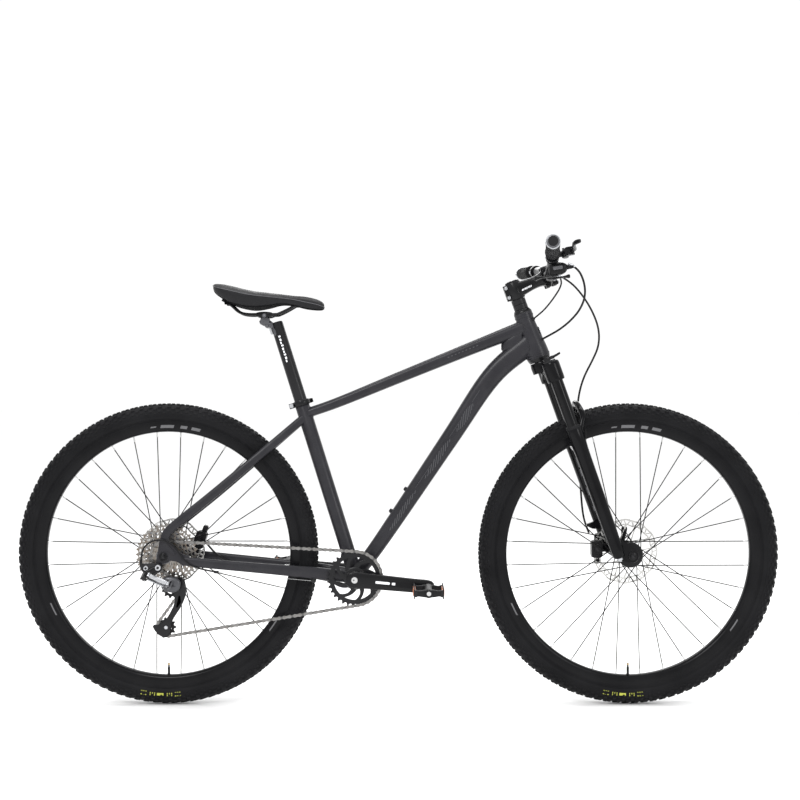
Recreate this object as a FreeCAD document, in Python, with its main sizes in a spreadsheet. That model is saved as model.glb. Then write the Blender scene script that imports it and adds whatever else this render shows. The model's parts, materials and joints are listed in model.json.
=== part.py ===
"""A hardtail mountain bike, as separate parts in one frame.

Units are millimetres. X points forward, Y to the rider's left and Z up. The origin is on the
ground, midway between the two axles. The drivetrain is on the right, at negative Y.
"""
import FreeCAD, Part
import math
import os
import re
import Sketcher
from FreeCAD import Placement, Rotation, Vector

doc = FreeCAD.newDocument("mountain_bike")
sheet = doc.addObject("Spreadsheet::Sheet", "sizes")

DRIVING = [
    ("wheelbase", 1115, "axle to axle"),
    ("tyre_radius", 365, "outside of the tread"),
    ("tyre_width", 53, "29 x 2.1"),
    ("tyre_wall", 3, "casing and tread"),
    ("rim_inner_radius", 295, "spoke face of the rim"),
    ("rim_outer_radius", 319, "edge of the rim's hooks"),
    ("rim_width", 27, "outside"),
    ("rim_wall", 2.2, "rim extrusion"),
    ("spokes_per_flange", 16, "32 spokes a wheel"),
    ("spoke_radius", 0.9, "1.8 mm wire"),
    ("flange_radius", 29, "hub flange"),
    ("spoke_circle", 25, "radius of the flange holes"),
    ("flange_width", 3, "hub flange"),
    ("hub_barrel_radius", 13, "between the flanges"),
    ("axle_radius", 4.5, "quick-release axle"),
    ("front_dropout_gap", 100, "between the fork's dropouts"),
    ("rear_dropout_gap", 135, "between the frame's dropouts"),
    ("rotor_radius", 80, "160 mm brake disc"),
    ("rotor_width", 1.8, "brake disc"),
    ("bottom_bracket_drop", 55, "below the axles"),
    ("chainstay_length", 457, "bottom bracket to rear axle"),
    ("seat_angle", 72.6, "degrees from the ground"),
    ("head_angle", 70.34, "degrees from the ground"),
    ("fork_offset", 44, "axle in front of the steering axis"),
    ("axle_to_head", 520, "axle to head tube along the steering axis"),
    ("fork_travel", 100, "suspension stroke"),
    ("fork_half_width", 65, "middle of the bike to a fork leg"),
    ("leg_ahead", 14, "fork legs in front of the steering axis"),
    ("stanchion_radius", 15, "inner fork leg"),
    ("lower_leg_radius", 18.7, "outer fork leg"),
    ("head_tube_length", 115, "tapered head tube"),
    ("head_low_radius", 28.5, "head tube at the bottom"),
    ("head_high_radius", 22.5, "head tube at the top"),
    ("steerer_radius", 14.3, "fork steerer"),
    ("seat_tube_length", 447, "bottom bracket to collar"),
    ("seat_tube_radius", 17.45, "34.9 mm tube"),
    ("seatpost_radius", 15.45, "30.9 mm post"),
    ("seatpost_fit", 0.05, "slip fit of the post in its tube"),
    ("post_insertion", 160, "post hidden in the seat tube"),
    ("post_exposed", 178, "post above the collar"),
    ("bracket_shell_radius", 21, "bottom bracket shell"),
    ("bracket_shell_width", 73, "bottom bracket shell"),
    ("bar_half_width", 360, "720 mm handlebar"),
    ("bar_radius", 11.1, "22.2 mm ends"),
    ("bar_clamp_radius", 15.9, "31.8 mm middle"),
    ("stem_length", 88, "steerer to bar"),
    ("grip_radius", 16, "rubber grip"),
    ("grip_length", 132, "rubber grip"),
    ("crank_length", 175, "centre to pedal"),
    ("crank_rest_angle", 5.6, "degrees below the horizontal"),
    ("chain_pitch", 12.7, "half-inch chain"),
    ("chain_plane", 48.7, "chain to the middle of the bike"),
    ("chainring_teeth", 32, "single ring"),
    ("cog_in_use_teeth", 17, "cog that carries the chain"),
    ("pulley_teeth", 11, "jockey wheels"),
    ("cog_spacing", 4.35, "nine-speed cassette"),
    ("tooth_height", 2.2, "tip above the pitch circle"),
    ("clearance", 0.3, "between moving parts"),
    ("hose_radius", 2.5, "brake hose"),
    ("housing_radius", 2, "gear cable housing"),
    ("wire_radius", 0.6, "bare gear wire"),
]
for row, (alias, value, note) in enumerate(DRIVING, start=1):
    sheet.set("A%d" % row, str(value))
    sheet.setAlias("A%d" % row, alias)
    sheet.set("B%d" % row, note)
doc.recompute()
ALIASES = {alias for alias, value, note in DRIVING}
CASSETTE_TEETH = (36, 32, 28, 24, 20, 17, 15, 13, 11)
NODES = []


# ---------------------------------------------------------------- helpers

def size(alias):
    return float(sheet.get(alias))


def formula(text):
    """An expression in which every sheet alias is written with its sheet's name."""
    def named(match):
        word = match.group(0)
        return "sizes." + word if word in ALIASES else word
    return re.sub(r"[A-Za-z_]\w*", named, str(text))


def number(text, obj=sheet):
    """The value that an expression has now."""
    value = obj.evalExpression(formula(text))
    return float(getattr(value, "Value", value))


def bind(obj, **expressions):
    for prop, text in expressions.items():
        obj.setExpression(prop, formula(text))
    return obj


def keep(obj, label=None):
    """Marks an object as one finished sub-part and names its file."""
    if label:
        obj.Label = label
    NODES.append(obj)
    return obj


def turned(axis, from_axis=Vector(0, 0, 1)):
    return Rotation(from_axis, axis)


def cylinder(name, radius, length, base=Vector(), axis=Vector(0, 0, 1), frame=Placement()):
    """A cylinder that starts at base and runs along axis, both given in the frame."""
    obj = bind(doc.addObject("Part::Cylinder", name), Radius=radius, Height=length)
    obj.Placement = frame * Placement(base, turned(axis))
    return obj


def cross_cylinder(name, radius, half_width, centre, frame=Placement(), offset=0):
    """A cylinder along Y, as wide each side of centre.y + offset as half_width says."""
    obj = bind(doc.addObject("Part::Cylinder", name), Radius=radius, Height="2 * (%s)" % half_width)
    start = centre + Vector(0, offset - number(half_width, obj), 0)
    obj.Placement = frame * Placement(start, turned(Vector(0, 1, 0)))
    return obj


def box(name, sides, centre, frame=Placement(), turn=Rotation()):
    """A box of the given X, Y and Z sides about its centre."""
    obj = bind(doc.addObject("Part::Box", name), Length=sides[0], Width=sides[1], Height=sides[2])
    half = Vector(*(number(text, obj) / 2 for text in sides))
    obj.Placement = frame * Placement(centre, turn) * Placement(half * -1, Rotation())
    return obj


def fuse(name, *shapes):
    obj = doc.addObject("Part::MultiFuse", name)
    obj.Shapes = list(shapes)
    return obj


def cut(name, base, *tools):
    obj = doc.addObject("Part::Cut", name)
    obj.Base = base
    obj.Tool = tools[0] if len(tools) == 1 else fuse(name + "_tools", *tools)
    return obj


def group(name, *shapes):
    """Separate solids that share one node."""
    obj = doc.addObject("Part::Compound", name)
    obj.Links = list(shapes)
    return obj


def mirrored(name, source):
    """The same piece on the other side of the bike's middle plane."""
    obj = doc.addObject("Part::Mirroring", name)
    obj.Source = source
    obj.Base = Vector()
    obj.Normal = Vector(0, 1, 0)
    return obj


def origin_plane(body, role):
    return next(f for f in body.Origin.OriginFeatures if f.Role == role)


def sketch_outline(body, role, outline, holes=()):
    """A closed outline of straight edges, and round holes, each tied to the sheet."""
    sketch = body.newObject("Sketcher::SketchObject", body.Name + "_sketch")
    sketch.AttachmentSupport = [(origin_plane(body, role), "")]
    sketch.MapMode = "FlatFace"

    def place(geometry, point, across, up):
        for kind, text in (("DistanceX", across), ("DistanceY", up)):
            index = sketch.addConstraint(
                Sketcher.Constraint(kind, -1, 1, geometry, point, number(text, sketch)))
            sketch.setExpression("Constraints[%d]" % index, formula(text))

    corners = [Vector(number(a, sketch), number(b, sketch), 0) for a, b in outline]
    for i, corner in enumerate(corners):
        sketch.addGeometry(Part.LineSegment(corner, corners[(i + 1) % len(corners)]), False)
    for i in range(len(corners)):
        sketch.addConstraint(Sketcher.Constraint("Coincident", i, 2, (i + 1) % len(corners), 1))
    for i, (across, up) in enumerate(outline):
        place(i, 1, across, up)
    for across, up, radius in holes:
        centre = Vector(number(across, sketch), number(up, sketch), 0)
        index = sketch.addGeometry(Part.Circle(centre, Vector(0, 0, 1), number(radius, sketch)), False)
        place(index, 3, across, up)
        rule = sketch.addConstraint(Sketcher.Constraint("Radius", index, number(radius, sketch)))
        sketch.setExpression("Constraints[%d]" % rule, formula(radius))
    return sketch


def lathe(name, profile, frame=Placement()):
    """A body turned about its own Z: the profile's points are (radius, height)."""
    body = doc.addObject("PartDesign::Body", name)
    sketch = sketch_outline(body, "XZ_Plane", profile)
    turn = body.newObject("PartDesign::Revolution", name + "_turn")
    turn.Profile = sketch
    turn.ReferenceAxis = (sketch, ["V_Axis"])
    turn.Angle = 360
    body.Placement = frame
    return body


def plate(name, outline, thickness, frame=Placement(), holes=()):
    """A body cut from flat stock, its outline in the frame's XY and centred on that plane."""
    body = doc.addObject("PartDesign::Body", name)
    sketch = sketch_outline(body, "XY_Plane", outline, holes)
    pad = body.newObject("PartDesign::Pad", name + "_pad")
    pad.Profile = sketch
    pad.Midplane = True
    bind(pad, Length=thickness)
    body.Placement = frame
    return body


def loft(name, stations, shrink=0, ruled=True):
    """A tube through ellipses. A station is (centre, tangent, long half, short half, side).

    side is the direction in which the long half lies. A ruled loft runs straight between stations.
    """
    rings = []
    for i, (centre, tangent, long_half, short_half, side) in enumerate(stations):
        ring = doc.addObject("Part::Ellipse", "%s_ring%d" % (name, i))
        bind(ring, MajorRadius="(%s) - (%s)" % (long_half, shrink),
             MinorRadius="(%s) - (%s)" % (short_half, shrink))
        other = tangent.cross(side)
        ring.Placement = Placement(centre, Rotation(side, other, tangent, "ZXY"))
        rings.append(ring)
    obj = doc.addObject("Part::Loft", name)
    obj.Sections = rings
    obj.Solid = True
    obj.Ruled = ruled
    return obj


def hollow_loft(name, stations, wall, ruled=True):
    return cut(name, loft(name + "_outside", stations, 0, ruled),
               loft(name + "_inside", stations, wall, ruled))


def along(points):
    """Unit tangents of a chain of points."""
    tangents = []
    for i in range(len(points)):
        before, after = points[max(i - 1, 0)], points[min(i + 1, len(points) - 1)]
        tangents.append((after - before).normalize())
    return tangents


def in_plane_normal(tangent):
    """The direction in the bike's XZ plane that is square to a tangent."""
    return Vector(0, 1, 0).cross(tangent).normalize()


def rounded_route(points):
    """Straight runs joined by the largest tangent arcs that the runs allow."""
    edges, radii, last = [], [], points[0]
    for before, corner, after in zip(points, points[1:], points[2:]):
        back, ahead = before - corner, after - corner
        shorter = min(back.Length, ahead.Length)
        back.normalize()
        ahead.normalize()
        half_turn = (math.pi - back.getAngle(ahead)) / 2
        radius = 0.45 * shorter / math.tan(half_turn)
        reach = 0.45 * shorter
        bisector = (back + ahead).normalize()
        middle = corner + bisector * (radius / math.cos(half_turn) - radius)
        start, end = corner + back * reach, corner + ahead * reach
        edges.append(Part.LineSegment(last, start).toShape())
        edges.append(Part.Arc(start, middle, end).toShape())
        radii.append(radius)
        last = end
    edges.append(Part.LineSegment(last, points[-1]).toShape())
    return Part.Wire(edges), radii


def tube_along(name, points, radius, bore=0):
    """A round tube or cord along a rounded route, checked against its section times its length."""
    wire, radii = rounded_route(points)
    tangent = points[1] - points[0]

    def swept(r):
        ring = Part.Wire([Part.makeCircle(r, points[0], tangent)])
        return wire.makePipeShell([ring], True, True)

    shape = swept(radius)
    expected = math.pi * radius ** 2 * wire.Length
    if bore:
        shape = shape.cut(swept(bore))
        expected -= math.pi * bore ** 2 * wire.Length
    if abs(shape.Volume / expected - 1) > 0.002:
        raise SystemExit("%s: volume %.1f, expected %.1f" % (name, shape.Volume, expected))
    print("%-26s length %6.1f  radii %s" % (name, wire.Length, " ".join("%.0f" % r for r in radii)))
    obj = doc.addObject("Part::Feature", name)
    obj.Shape = shape
    return obj


def tilted(base, degrees_from_ground):
    """A frame at base whose Z leans back to the given angle."""
    return Placement(base, Rotation(Vector(0, 1, 0), degrees_from_ground - 90))


def sideways(centre, turn_degrees=0):
    """A frame whose XY lies in the bike's XZ plane and whose Z points to the right."""
    spin = Rotation(Vector(0, 1, 0), -turn_degrees)
    return Placement(centre, spin * Rotation(Vector(1, 0, 0), 90))


# ---------------------------------------------------------------- the frame's key points

REAR_AXLE = Vector(-size("wheelbase") / 2, 0, size("tyre_radius"))
FRONT_AXLE = Vector(size("wheelbase") / 2, 0, size("tyre_radius"))
DROP = size("bottom_bracket_drop")
BRACKET = REAR_AXLE + Vector(math.sqrt(size("chainstay_length") ** 2 - DROP ** 2), 0, -DROP)
SEAT = tilted(BRACKET, size("seat_angle"))
HEAD_LEAN = math.radians(size("head_angle"))
HEAD_UP = Vector(-math.cos(HEAD_LEAN), 0, math.sin(HEAD_LEAN))
HEAD_AHEAD = Vector(math.sin(HEAD_LEAN), 0, math.cos(HEAD_LEAN))
HEAD_LOW = FRONT_AXLE + HEAD_UP * size("axle_to_head") - HEAD_AHEAD * size("fork_offset")
HEAD = tilted(HEAD_LOW, size("head_angle"))
ACROSS = Vector(0, 1, 0)


def in_seat(x, y, z):
    return SEAT.multVec(Vector(x, y, z))


def in_head(x, y, z):
    return HEAD.multVec(Vector(x, y, z))


# ---------------------------------------------------------------- frame tubes

def tube_stations(points, long_halves, short_halves, tall):
    """Loft stations along points, with the long half upright (tall) or sideways."""
    stations = []
    for point, tangent, a, b in zip(points, along(points), long_halves, short_halves):
        side = in_plane_normal(tangent) if tall else ACROSS
        stations.append((point, tangent, a, b, side))
    return stations


def main_frame():
    shell = cross_cylinder("shell_outside", "bracket_shell_radius", "bracket_shell_width / 2", BRACKET)
    shell_bore = cross_cylinder("shell_bore", "bracket_shell_radius - 3.5", "bracket_shell_width", BRACKET)
    keep(cut("bottom_bracket_shell", shell, shell_bore))

    seat_outside = cylinder("seat_tube_outside", "seat_tube_radius", "seat_tube_length", frame=SEAT)
    seat_bore = cylinder("seat_tube_bore", "seatpost_radius + seatpost_fit", "seat_tube_length", frame=SEAT)
    keep(cut("seat_tube", seat_outside, seat_bore, shell))

    head_body = lathe("head_tube_outside", [
        ("10", "0"), ("head_low_radius", "0"), ("head_low_radius", "14"),
        ("head_high_radius + 1", "74"), ("head_high_radius", "head_tube_length"),
        ("10", "head_tube_length")], HEAD)
    head_bore = lathe("head_tube_bore", [
        ("0", "-1"), ("24", "-1"), ("24", "12"), ("19", "40"), ("19", "head_tube_length + 1"),
        ("0", "head_tube_length + 1")], HEAD)
    keep(cut("head_tube", head_body, head_bore))
    head_solid = lathe("head_tube_space", [
        ("0", "0"), ("head_low_radius", "0"), ("head_low_radius", "14"),
        ("head_high_radius + 1", "74"), ("head_high_radius", "head_tube_length"),
        ("0", "head_tube_length")], HEAD)

    top_points = [in_seat(0, 0, 412), Vector(-142, 0, 733), Vector(0, 0, 791), Vector(150, 0, 852),
                  in_head(0, 0, 82)]
    top_stations = tube_stations(top_points, ("15", "16", "17", "18.5", "20"),
                                 ("12", "12.5", "13.8", "15.5", "18"), False)
    keep(cut("top_tube", hollow_loft("top_tube_blank", top_stations, "2"), seat_outside, head_solid))

    down_points = [BRACKET + Vector(6, 0, 10), Vector(-38, 0, 401), Vector(123.5, 0, 641),
                   Vector(226, 0, 793), in_head(-6, 0, 42)]
    down_stations = tube_stations(
        down_points, ("17.5", "18.5", "21.5", "24.5", "29"), ("17", "17.5", "19.5", "21", "22"), True)
    down = cut("down_tube_joined", loft("down_tube_outside", down_stations),
               shell, head_solid, seat_outside, loft("top_tube_space", top_stations))
    boss_axis = in_plane_normal(along(down_points)[2])
    if boss_axis.z < 0:
        boss_axis = boss_axis * -1
    bosses, threads = [], []
    for i, foot in enumerate((Vector(-12, 0, 463.7), Vector(23.7, 0, 516.8))):
        bosses.append(cylinder("boss%d" % i, "5.5", "10", foot, boss_axis))
        threads.append(cylinder("boss_thread%d" % i, "2.1", "18", foot - boss_axis * 2, boss_axis))
    with_bosses = fuse("down_tube_with_bosses", down, *bosses)
    hollow = cut("down_tube_inside", loft("down_tube_hollow", down_stations, "2.2"), *[
        cylinder("boss_sleeve%d" % i, "4", "30", b.Placement.Base - boss_axis * 8, boss_axis)
        for i, b in enumerate(bosses)])
    keep(cut("down_tube", with_bosses, hollow, *threads))
    return shell, seat_outside, head_solid


HANGER_BOLT = REAR_AXLE + Vector(-10, 0, -24)


def rear_end(shell, seat_outside):
    """Chainstays, seatstays and dropouts, drawn on the right and mirrored."""
    inner_face = size("rear_dropout_gap") / 2
    thickness = 8
    middle = -(inner_face + thickness / 2)
    outline = [("-16", "-10"), ("-12", "12"), ("-8", "46"), ("8", "46"), ("18", "24"), ("60", "2"),
               ("60", "-22"), ("20", "-20"), ("-2", "-16")]
    axle_place = REAR_AXLE + Vector(0, middle, 0)
    holes = [("0", "0", "axle_radius + 0.6")]
    right = plate("dropout_right_plate", outline, str(thickness), sideways(axle_place), holes)
    left = plate("dropout_left_plate", outline, str(thickness),
                 sideways(REAR_AXLE + Vector(0, -middle, 0)), holes)
    hanger_arm = plate("hanger_arm", [("-18", "-24"), ("-16", "-2"), ("0", "-9"), ("-2", "-18"),
                                      ("-6", "-30"), ("-14", "-30")],
                       str(thickness), sideways(axle_place))
    hanger_hole = cross_cylinder("hanger_hole", "3.3", "10", HANGER_BOLT + Vector(0, middle, 0))
    right_whole = cut("dropout_right", fuse("dropout_and_hanger", right, hanger_arm),
                      hanger_hole,
                      cross_cylinder("axle_slot", "axle_radius + 0.6", "10", axle_place))
    keep(group("dropouts", right_whole, left))

    def stay(name, points, long_halves, short_halves, tools, ruled=True):
        stations = tube_stations(points, long_halves, short_halves, True)
        return cut(name, hollow_loft(name + "_blank", stations, "1.6", ruled), *tools)

    chain_points = [Vector(-118, -26, 311), Vector(-170, -36, 318), Vector(-215, -43, 324),
                    Vector(-330, -59, 336), Vector(-462, -69, 349), Vector(-512, -71.5, 355)]
    chainstay = stay("chainstay_right", chain_points, ("14.5", "14.5", "14", "12", "11", "10.5"),
                     ("9", "8", "7.5", "7", "6.5", "6"), (shell, seat_outside, right), ruled=False)
    keep(group("chainstays", chainstay, mirrored("chainstay_left", chainstay)))
    seat_points = [Vector(-556, -71.5, 396), Vector(-551, -71.5, 418), Vector(-532, -70.5, 439),
                   Vector(-448, -62, 507), Vector(-345, -46, 594), Vector(-238, -19, 684)]
    seatstay = stay("seatstay_right", seat_points, ("10", "10.5", "10.5", "10.5", "10", "10"),
                    ("6.5", "6.8", "7", "7", "7", "7"), (seat_outside, right))
    keep(group("seatstays", seatstay, mirrored("seatstay_left", seatstay)))


def collar_and_cups():
    top = size("seat_tube_length")
    ring = cylinder("collar_ring", "seat_tube_radius + 3.6", "13", Vector(0, 0, top - 14), frame=SEAT)
    lug = box("collar_lug", ("14", "14", "13"), Vector(-23, 0, top - 7.5), SEAT)
    slit = box("collar_slit", ("20", "1.6", "16"), Vector(-27, 0, top - 7.5), SEAT)
    bore = cylinder("collar_bore", "seat_tube_radius", "20", Vector(0, 0, top - 17), frame=SEAT)
    hole = cross_cylinder("collar_bolt_hole", "3.2", "12", Vector(-25, 0, top - 7.5), SEAT)
    bolt = cross_cylinder("collar_bolt", "2.6", "14", Vector(-25, 0, top - 7.5), SEAT, offset=-1)
    nut = cross_cylinder("collar_nut", "5.5", "3", Vector(-25, 0, top - 7.5), SEAT, offset=-12)
    keep(group("seat_collar", cut("collar_body", fuse("collar_blank", ring, lug), slit, bore, hole),
               fuse("collar_skewer", bolt, nut)))

    low_cup = lathe("headset_low_cup", [
        ("16", "-9"), ("25", "-9"), ("27.5", "-0.01"), ("23.9", "-0.01"), ("23.9", "8"), ("16", "8")], HEAD)
    high_cup = lathe("headset_high_cup", [
        ("15", "head_tube_length - 8"), ("18.9", "head_tube_length - 8"),
        ("18.9", "head_tube_length + 0.01"), ("21.5", "head_tube_length + 0.01"),
        ("18", "head_tube_length + 9"), ("15", "head_tube_length + 9")], HEAD)
    cups = [low_cup, high_cup]
    for side, name in ((-1, "right"), (1, "left")):
        seat = Placement(BRACKET + Vector(0, side * size("bracket_shell_width") / 2, 0),
                         turned(Vector(0, side, 0)))
        cups.append(lathe("bracket_cup_" + name, [
            ("12.4", "-10"), ("17.4", "-10"), ("17.4", "0.01"), ("21.5", "0.01"), ("21.5", "8"),
            ("12.4", "8")], seat))
    keep(group("bearing_cups", *cups))


# ---------------------------------------------------------------- fork

def fork():
    half, ahead = size("fork_half_width"), size("leg_ahead")
    sides = ((-1, "right"), (1, "left"))
    bridge = box("crown_bridge", ("34", "2 * fork_half_width", "24"), Vector(ahead - 2, 0, -26), HEAD)
    race = cylinder("crown_race", "25", "4", Vector(0, 0, -14), frame=HEAD)
    steerer = cylinder("steerer", "steerer_radius", "204", Vector(0, 0, -15), frame=HEAD)
    clamps = [cylinder("crown_clamp_" + name, "21.5", "46", Vector(ahead, s * half, -64), frame=HEAD)
              for s, name in sides]
    steerer_bore = cylinder("steerer_bore", "12", "230", Vector(0, 0, -40), frame=HEAD)
    crown_blank = fuse("crown_blank", bridge, race, steerer, *clamps)
    stanchions, sockets = [], []
    for s, name in sides:
        foot = Vector(ahead, s * half, -330)
        outside = cylinder("stanchion_%s_out" % name, "stanchion_radius", "308", foot, frame=HEAD)
        inside = cylinder("stanchion_%s_in" % name, "stanchion_radius - 2", "308", foot, frame=HEAD)
        stanchions.append(cut("stanchion_" + name, outside, inside))
        sockets.append(outside)
    crown = cut("crown_and_steerer", crown_blank, steerer_bore, *sockets)
    keep(crown, "fork_crown")
    keep(group("stanchions", *stanchions))

    legs = [lathe("lower_leg_" + name, [
        ("0", "-512"), ("12", "-512"), ("15", "-490"), ("16.2", "-440"), ("17.2", "-250"),
        ("lower_leg_radius", "-225"), ("lower_leg_radius", "-184"), ("0", "-184")],
        HEAD * Placement(Vector(ahead, s * half, 0), Rotation())) for s, name in sides]
    bores = [lathe("lower_bore_" + name, [
        ("0", "-480"), ("13", "-480"), ("13", "-440"), ("stanchion_radius + clearance", "-436"),
        ("stanchion_radius + clearance", "-183"), ("0", "-183")],
        HEAD * Placement(Vector(ahead, s * half, 0), Rotation())) for s, name in sides]
    lug_face = size("front_dropout_gap") / 2
    lugs = []
    for s, name in sides:
        lug_frame = HEAD * Placement(Vector(0, s * (lug_face + 6.5), 0), Rotation(Vector(1, 0, 0), 90))
        lugs.append(plate("dropout_lug_" + name, [
            ("leg_ahead - 10", "-470"), ("leg_ahead + 12", "-470"), ("fork_offset + 12", "8 - axle_to_head"),
            ("fork_offset + 13", "-8 - axle_to_head"), ("fork_offset", "-15 - axle_to_head"),
            ("leg_ahead - 6", "-axle_to_head - 2")], "13", lug_frame))
    arch_out = cylinder("arch_outside", "75", "13", Vector(39.5, 0, -198), Vector(1, 0, 0), HEAD)
    arch_in = cylinder("arch_inside", "49", "30", Vector(30, 0, -198), Vector(1, 0, 0), HEAD)
    arch_low = box("arch_below", ("60", "200", "100"), Vector(45, 0, -248), HEAD)
    arch = cut("arch_half_ring", arch_out, arch_in, arch_low)
    feet = [box("arch_foot_" + name, ("38", "26", "26"), Vector(33.5, s * 62, -210), HEAD)
            for s, name in sides]
    axle = FRONT_AXLE
    axle_hole = cross_cylinder("front_axle_hole", "axle_radius", "80", axle)
    body = cut("lowers_cast", fuse("lowers_blank", arch, *(legs + lugs + feet)), axle_hole, *bores)
    keep(body, "fork_lowers")

    spindle = cross_cylinder("front_spindle", "axle_radius", "66", axle)
    nut = cross_cylinder("front_skewer_nut", "9", "4.5", axle, offset=-(lug_face + 13 + 4.6))
    cap = cross_cylinder("front_skewer_cap", "8.5", "2.5", axle, offset=lug_face + 13 + 2.6)
    keep(fuse("front_axle", spindle, nut, cap))


def caliper(name, centre, turn, rotor_at, rotor_centre):
    """A two-pot brake caliper that straddles the disc, with its mounting feet."""
    frame = Placement(Vector(centre.x, rotor_at, centre.z), Rotation(Vector(0, 1, 0), -turn))
    body = box(name + "_body", ("26", "25", "40"), Vector(), frame)
    pot = cross_cylinder(name + "_pots", "13", "15", Vector(), frame)
    foot_up = box(name + "_foot_up", ("12", "10", "20"), Vector(2, 7, 26), frame)
    foot_down = box(name + "_foot_down", ("12", "10", "20"), Vector(2, 7, -26), frame)
    slot = cross_cylinder(name + "_disc_slot", "rotor_radius + 2", "1.3",
                          Vector(rotor_centre.x, rotor_at, rotor_centre.z))
    return cut(name, fuse(name + "_blank", body, pot, foot_up, foot_down), slot)


# ---------------------------------------------------------------- wheels

def wheel(side, axle, hub):
    """One wheel about its axle. hub gives the widths that differ between front and rear."""
    upright = Placement(axle, turned(ACROSS))
    casing = doc.addObject("Part::Torus", side + "_casing")
    bind(casing, Radius1="tyre_radius - tyre_width / 2", Radius2="tyre_width / 2")
    casing.Placement = upright
    air = doc.addObject("Part::Torus", side + "_air")
    bind(air, Radius1="tyre_radius - tyre_width / 2", Radius2="tyre_width / 2 - tyre_wall")
    air.Placement = upright
    rim_room = cross_cylinder(side + "_rim_room", "rim_outer_radius + 0.2", "40", axle)
    keep(cut(side + "_tyre", casing, air, rim_room))

    rim_blank = lathe(side + "_rim_blank", [
        ("rim_inner_radius", "-8"), ("rim_inner_radius", "8"), ("rim_inner_radius + 6", "rim_width / 2 - 1"),
        ("rim_outer_radius", "rim_width / 2"), ("rim_outer_radius", "rim_width / 2 - 1.8"),
        ("rim_outer_radius - 7", "rim_width / 2 - 2.4"), ("rim_outer_radius - 10", "8"),
        ("rim_outer_radius - 10", "-8"), ("rim_outer_radius - 7", "2.4 - rim_width / 2"),
        ("rim_outer_radius", "1.8 - rim_width / 2"), ("rim_outer_radius", "-rim_width / 2"),
        ("rim_inner_radius + 6", "1 - rim_width / 2")], upright)
    chamber = lathe(side + "_rim_chamber", [
        ("rim_inner_radius + rim_wall", "-7.4"), ("rim_inner_radius + rim_wall", "7.4"),
        ("rim_outer_radius - 10 - rim_wall", "8.5"), ("rim_outer_radius - 10 - rim_wall", "-8.5")], upright)
    valve_hole = cylinder(side + "_valve_hole", "3.2", "40", axle + Vector(0, 0, -280), Vector(0, 0, -1))
    valve = cylinder(side + "_valve", "3", "52", axle + Vector(0, 0, -256), Vector(0, 0, -1))
    keep(group(side + "_rim", cut(side + "_rim_extrusion", rim_blank, chamber, valve_hole), valve))

    left, right, mount = hub["left_flange"], hub["right_flange"], hub["disc_mount"]
    left_end, right_end = hub["left_end"], hub["right_end"]
    barrel, flange, bore = "hub_barrel_radius", "flange_radius", "axle_radius + clearance"
    profile = [(bore, left_end), ("9", left_end), ("9", mount), ("20", mount), ("20", "%s - 7" % mount),
               (barrel, "%s - 7" % mount), (barrel, "%s + flange_width / 2" % left),
               (flange, "%s + flange_width / 2" % left), (flange, "%s - flange_width / 2" % left),
               (barrel, "%s - flange_width / 2" % left), (barrel, "%s + flange_width / 2" % right),
               (flange, "%s + flange_width / 2" % right), (flange, "%s - flange_width / 2" % right)]
    profile += hub["right_profile"] + [(bore, right_end)]
    keep(lathe(side + "_hub", profile, upright))

    count = int(size("spokes_per_flange"))
    per_spoke = 2 * math.pi / count
    inner, outer = size("spoke_circle"), size("rim_inner_radius") + 1.5
    spokes = []
    for flange_at, phase in ((float(left), 0.25), (float(right), 0.75)):
        for k in range(count):
            lean = 3 if k % 2 else -3
            start = (k + phase) * per_spoke
            end = start + lean * per_spoke
            foot = Vector(inner * math.cos(start), flange_at + (2 if k % 2 else -2), inner * math.sin(start))
            tip = Vector(outer * math.cos(end), 0.06 * flange_at, outer * math.sin(end))
            name = "%s_spoke_%s%d" % (side, "left" if flange_at > 0 else "right", k)
            run = tip - foot
            spokes.append(cylinder(name, "spoke_radius", "%.4f" % run.Length, axle + foot,
                                   Vector(run).normalize()))
    keep(group(side + "_spokes", *spokes))

    rotor_frame = sideways(axle + Vector(0, float(mount) + size("rotor_width") / 2, 0))
    band = cylinder(side + "_rotor_band", "rotor_radius", "rotor_width",
                    Vector(0, 0, -size("rotor_width") / 2), frame=rotor_frame)
    window = cylinder(side + "_rotor_window", "rotor_radius - 15", "6", Vector(0, 0, -3), frame=rotor_frame)
    ring = cut(side + "_rotor_ring", band, window)
    centre = cylinder(side + "_rotor_centre", "26", "rotor_width",
                      Vector(0, 0, -size("rotor_width") / 2), frame=rotor_frame)
    arms = [box("%s_rotor_arm%d" % (side, k), ("46", "7", "rotor_width"), Vector(),
                rotor_frame * Placement(Vector(), Rotation(Vector(0, 0, 1), 60 * k))
                * Placement(Vector(46, 8, 0), Rotation(Vector(0, 0, 1), 25))) for k in range(6)]
    hole = cylinder(side + "_rotor_bore", "9.2", "6", Vector(0, 0, -3), frame=rotor_frame)
    keep(cut(side + "_rotor", fuse(side + "_rotor_blank", ring, centre, *arms), hole))


def wheels():
    wheel("front", FRONT_AXLE, {
        "left_flange": "20", "right_flange": "-33", "disc_mount": "36", "left_end": "49.7",
        "right_end": "-49.7",
        "right_profile": [("14", "-38"), ("9", "-40"), ("9", "-49.7")]})
    wheel("rear", REAR_AXLE, {
        "left_flange": "33", "right_flange": "-18.5", "disc_mount": "51", "left_end": "67.2",
        "right_end": "-67.2",
        "right_profile": [("16.5", "-20"), ("16.5", "-64"), ("9", "-64.5"), ("9", "-67.2")]})
    half = size("rear_dropout_gap") / 2 + 8
    spindle = cross_cylinder("rear_spindle", "axle_radius", str(half + 1), REAR_AXLE)
    nut = cross_cylinder("rear_skewer_nut", "9", "4", REAR_AXLE, offset=-(half + 4.1))
    cap = cross_cylinder("rear_skewer_cap", "8.5", "2.5", REAR_AXLE, offset=half + 2.6)
    keep(fuse("rear_axle", spindle, nut, cap))


# ---------------------------------------------------------------- drivetrain

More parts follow.
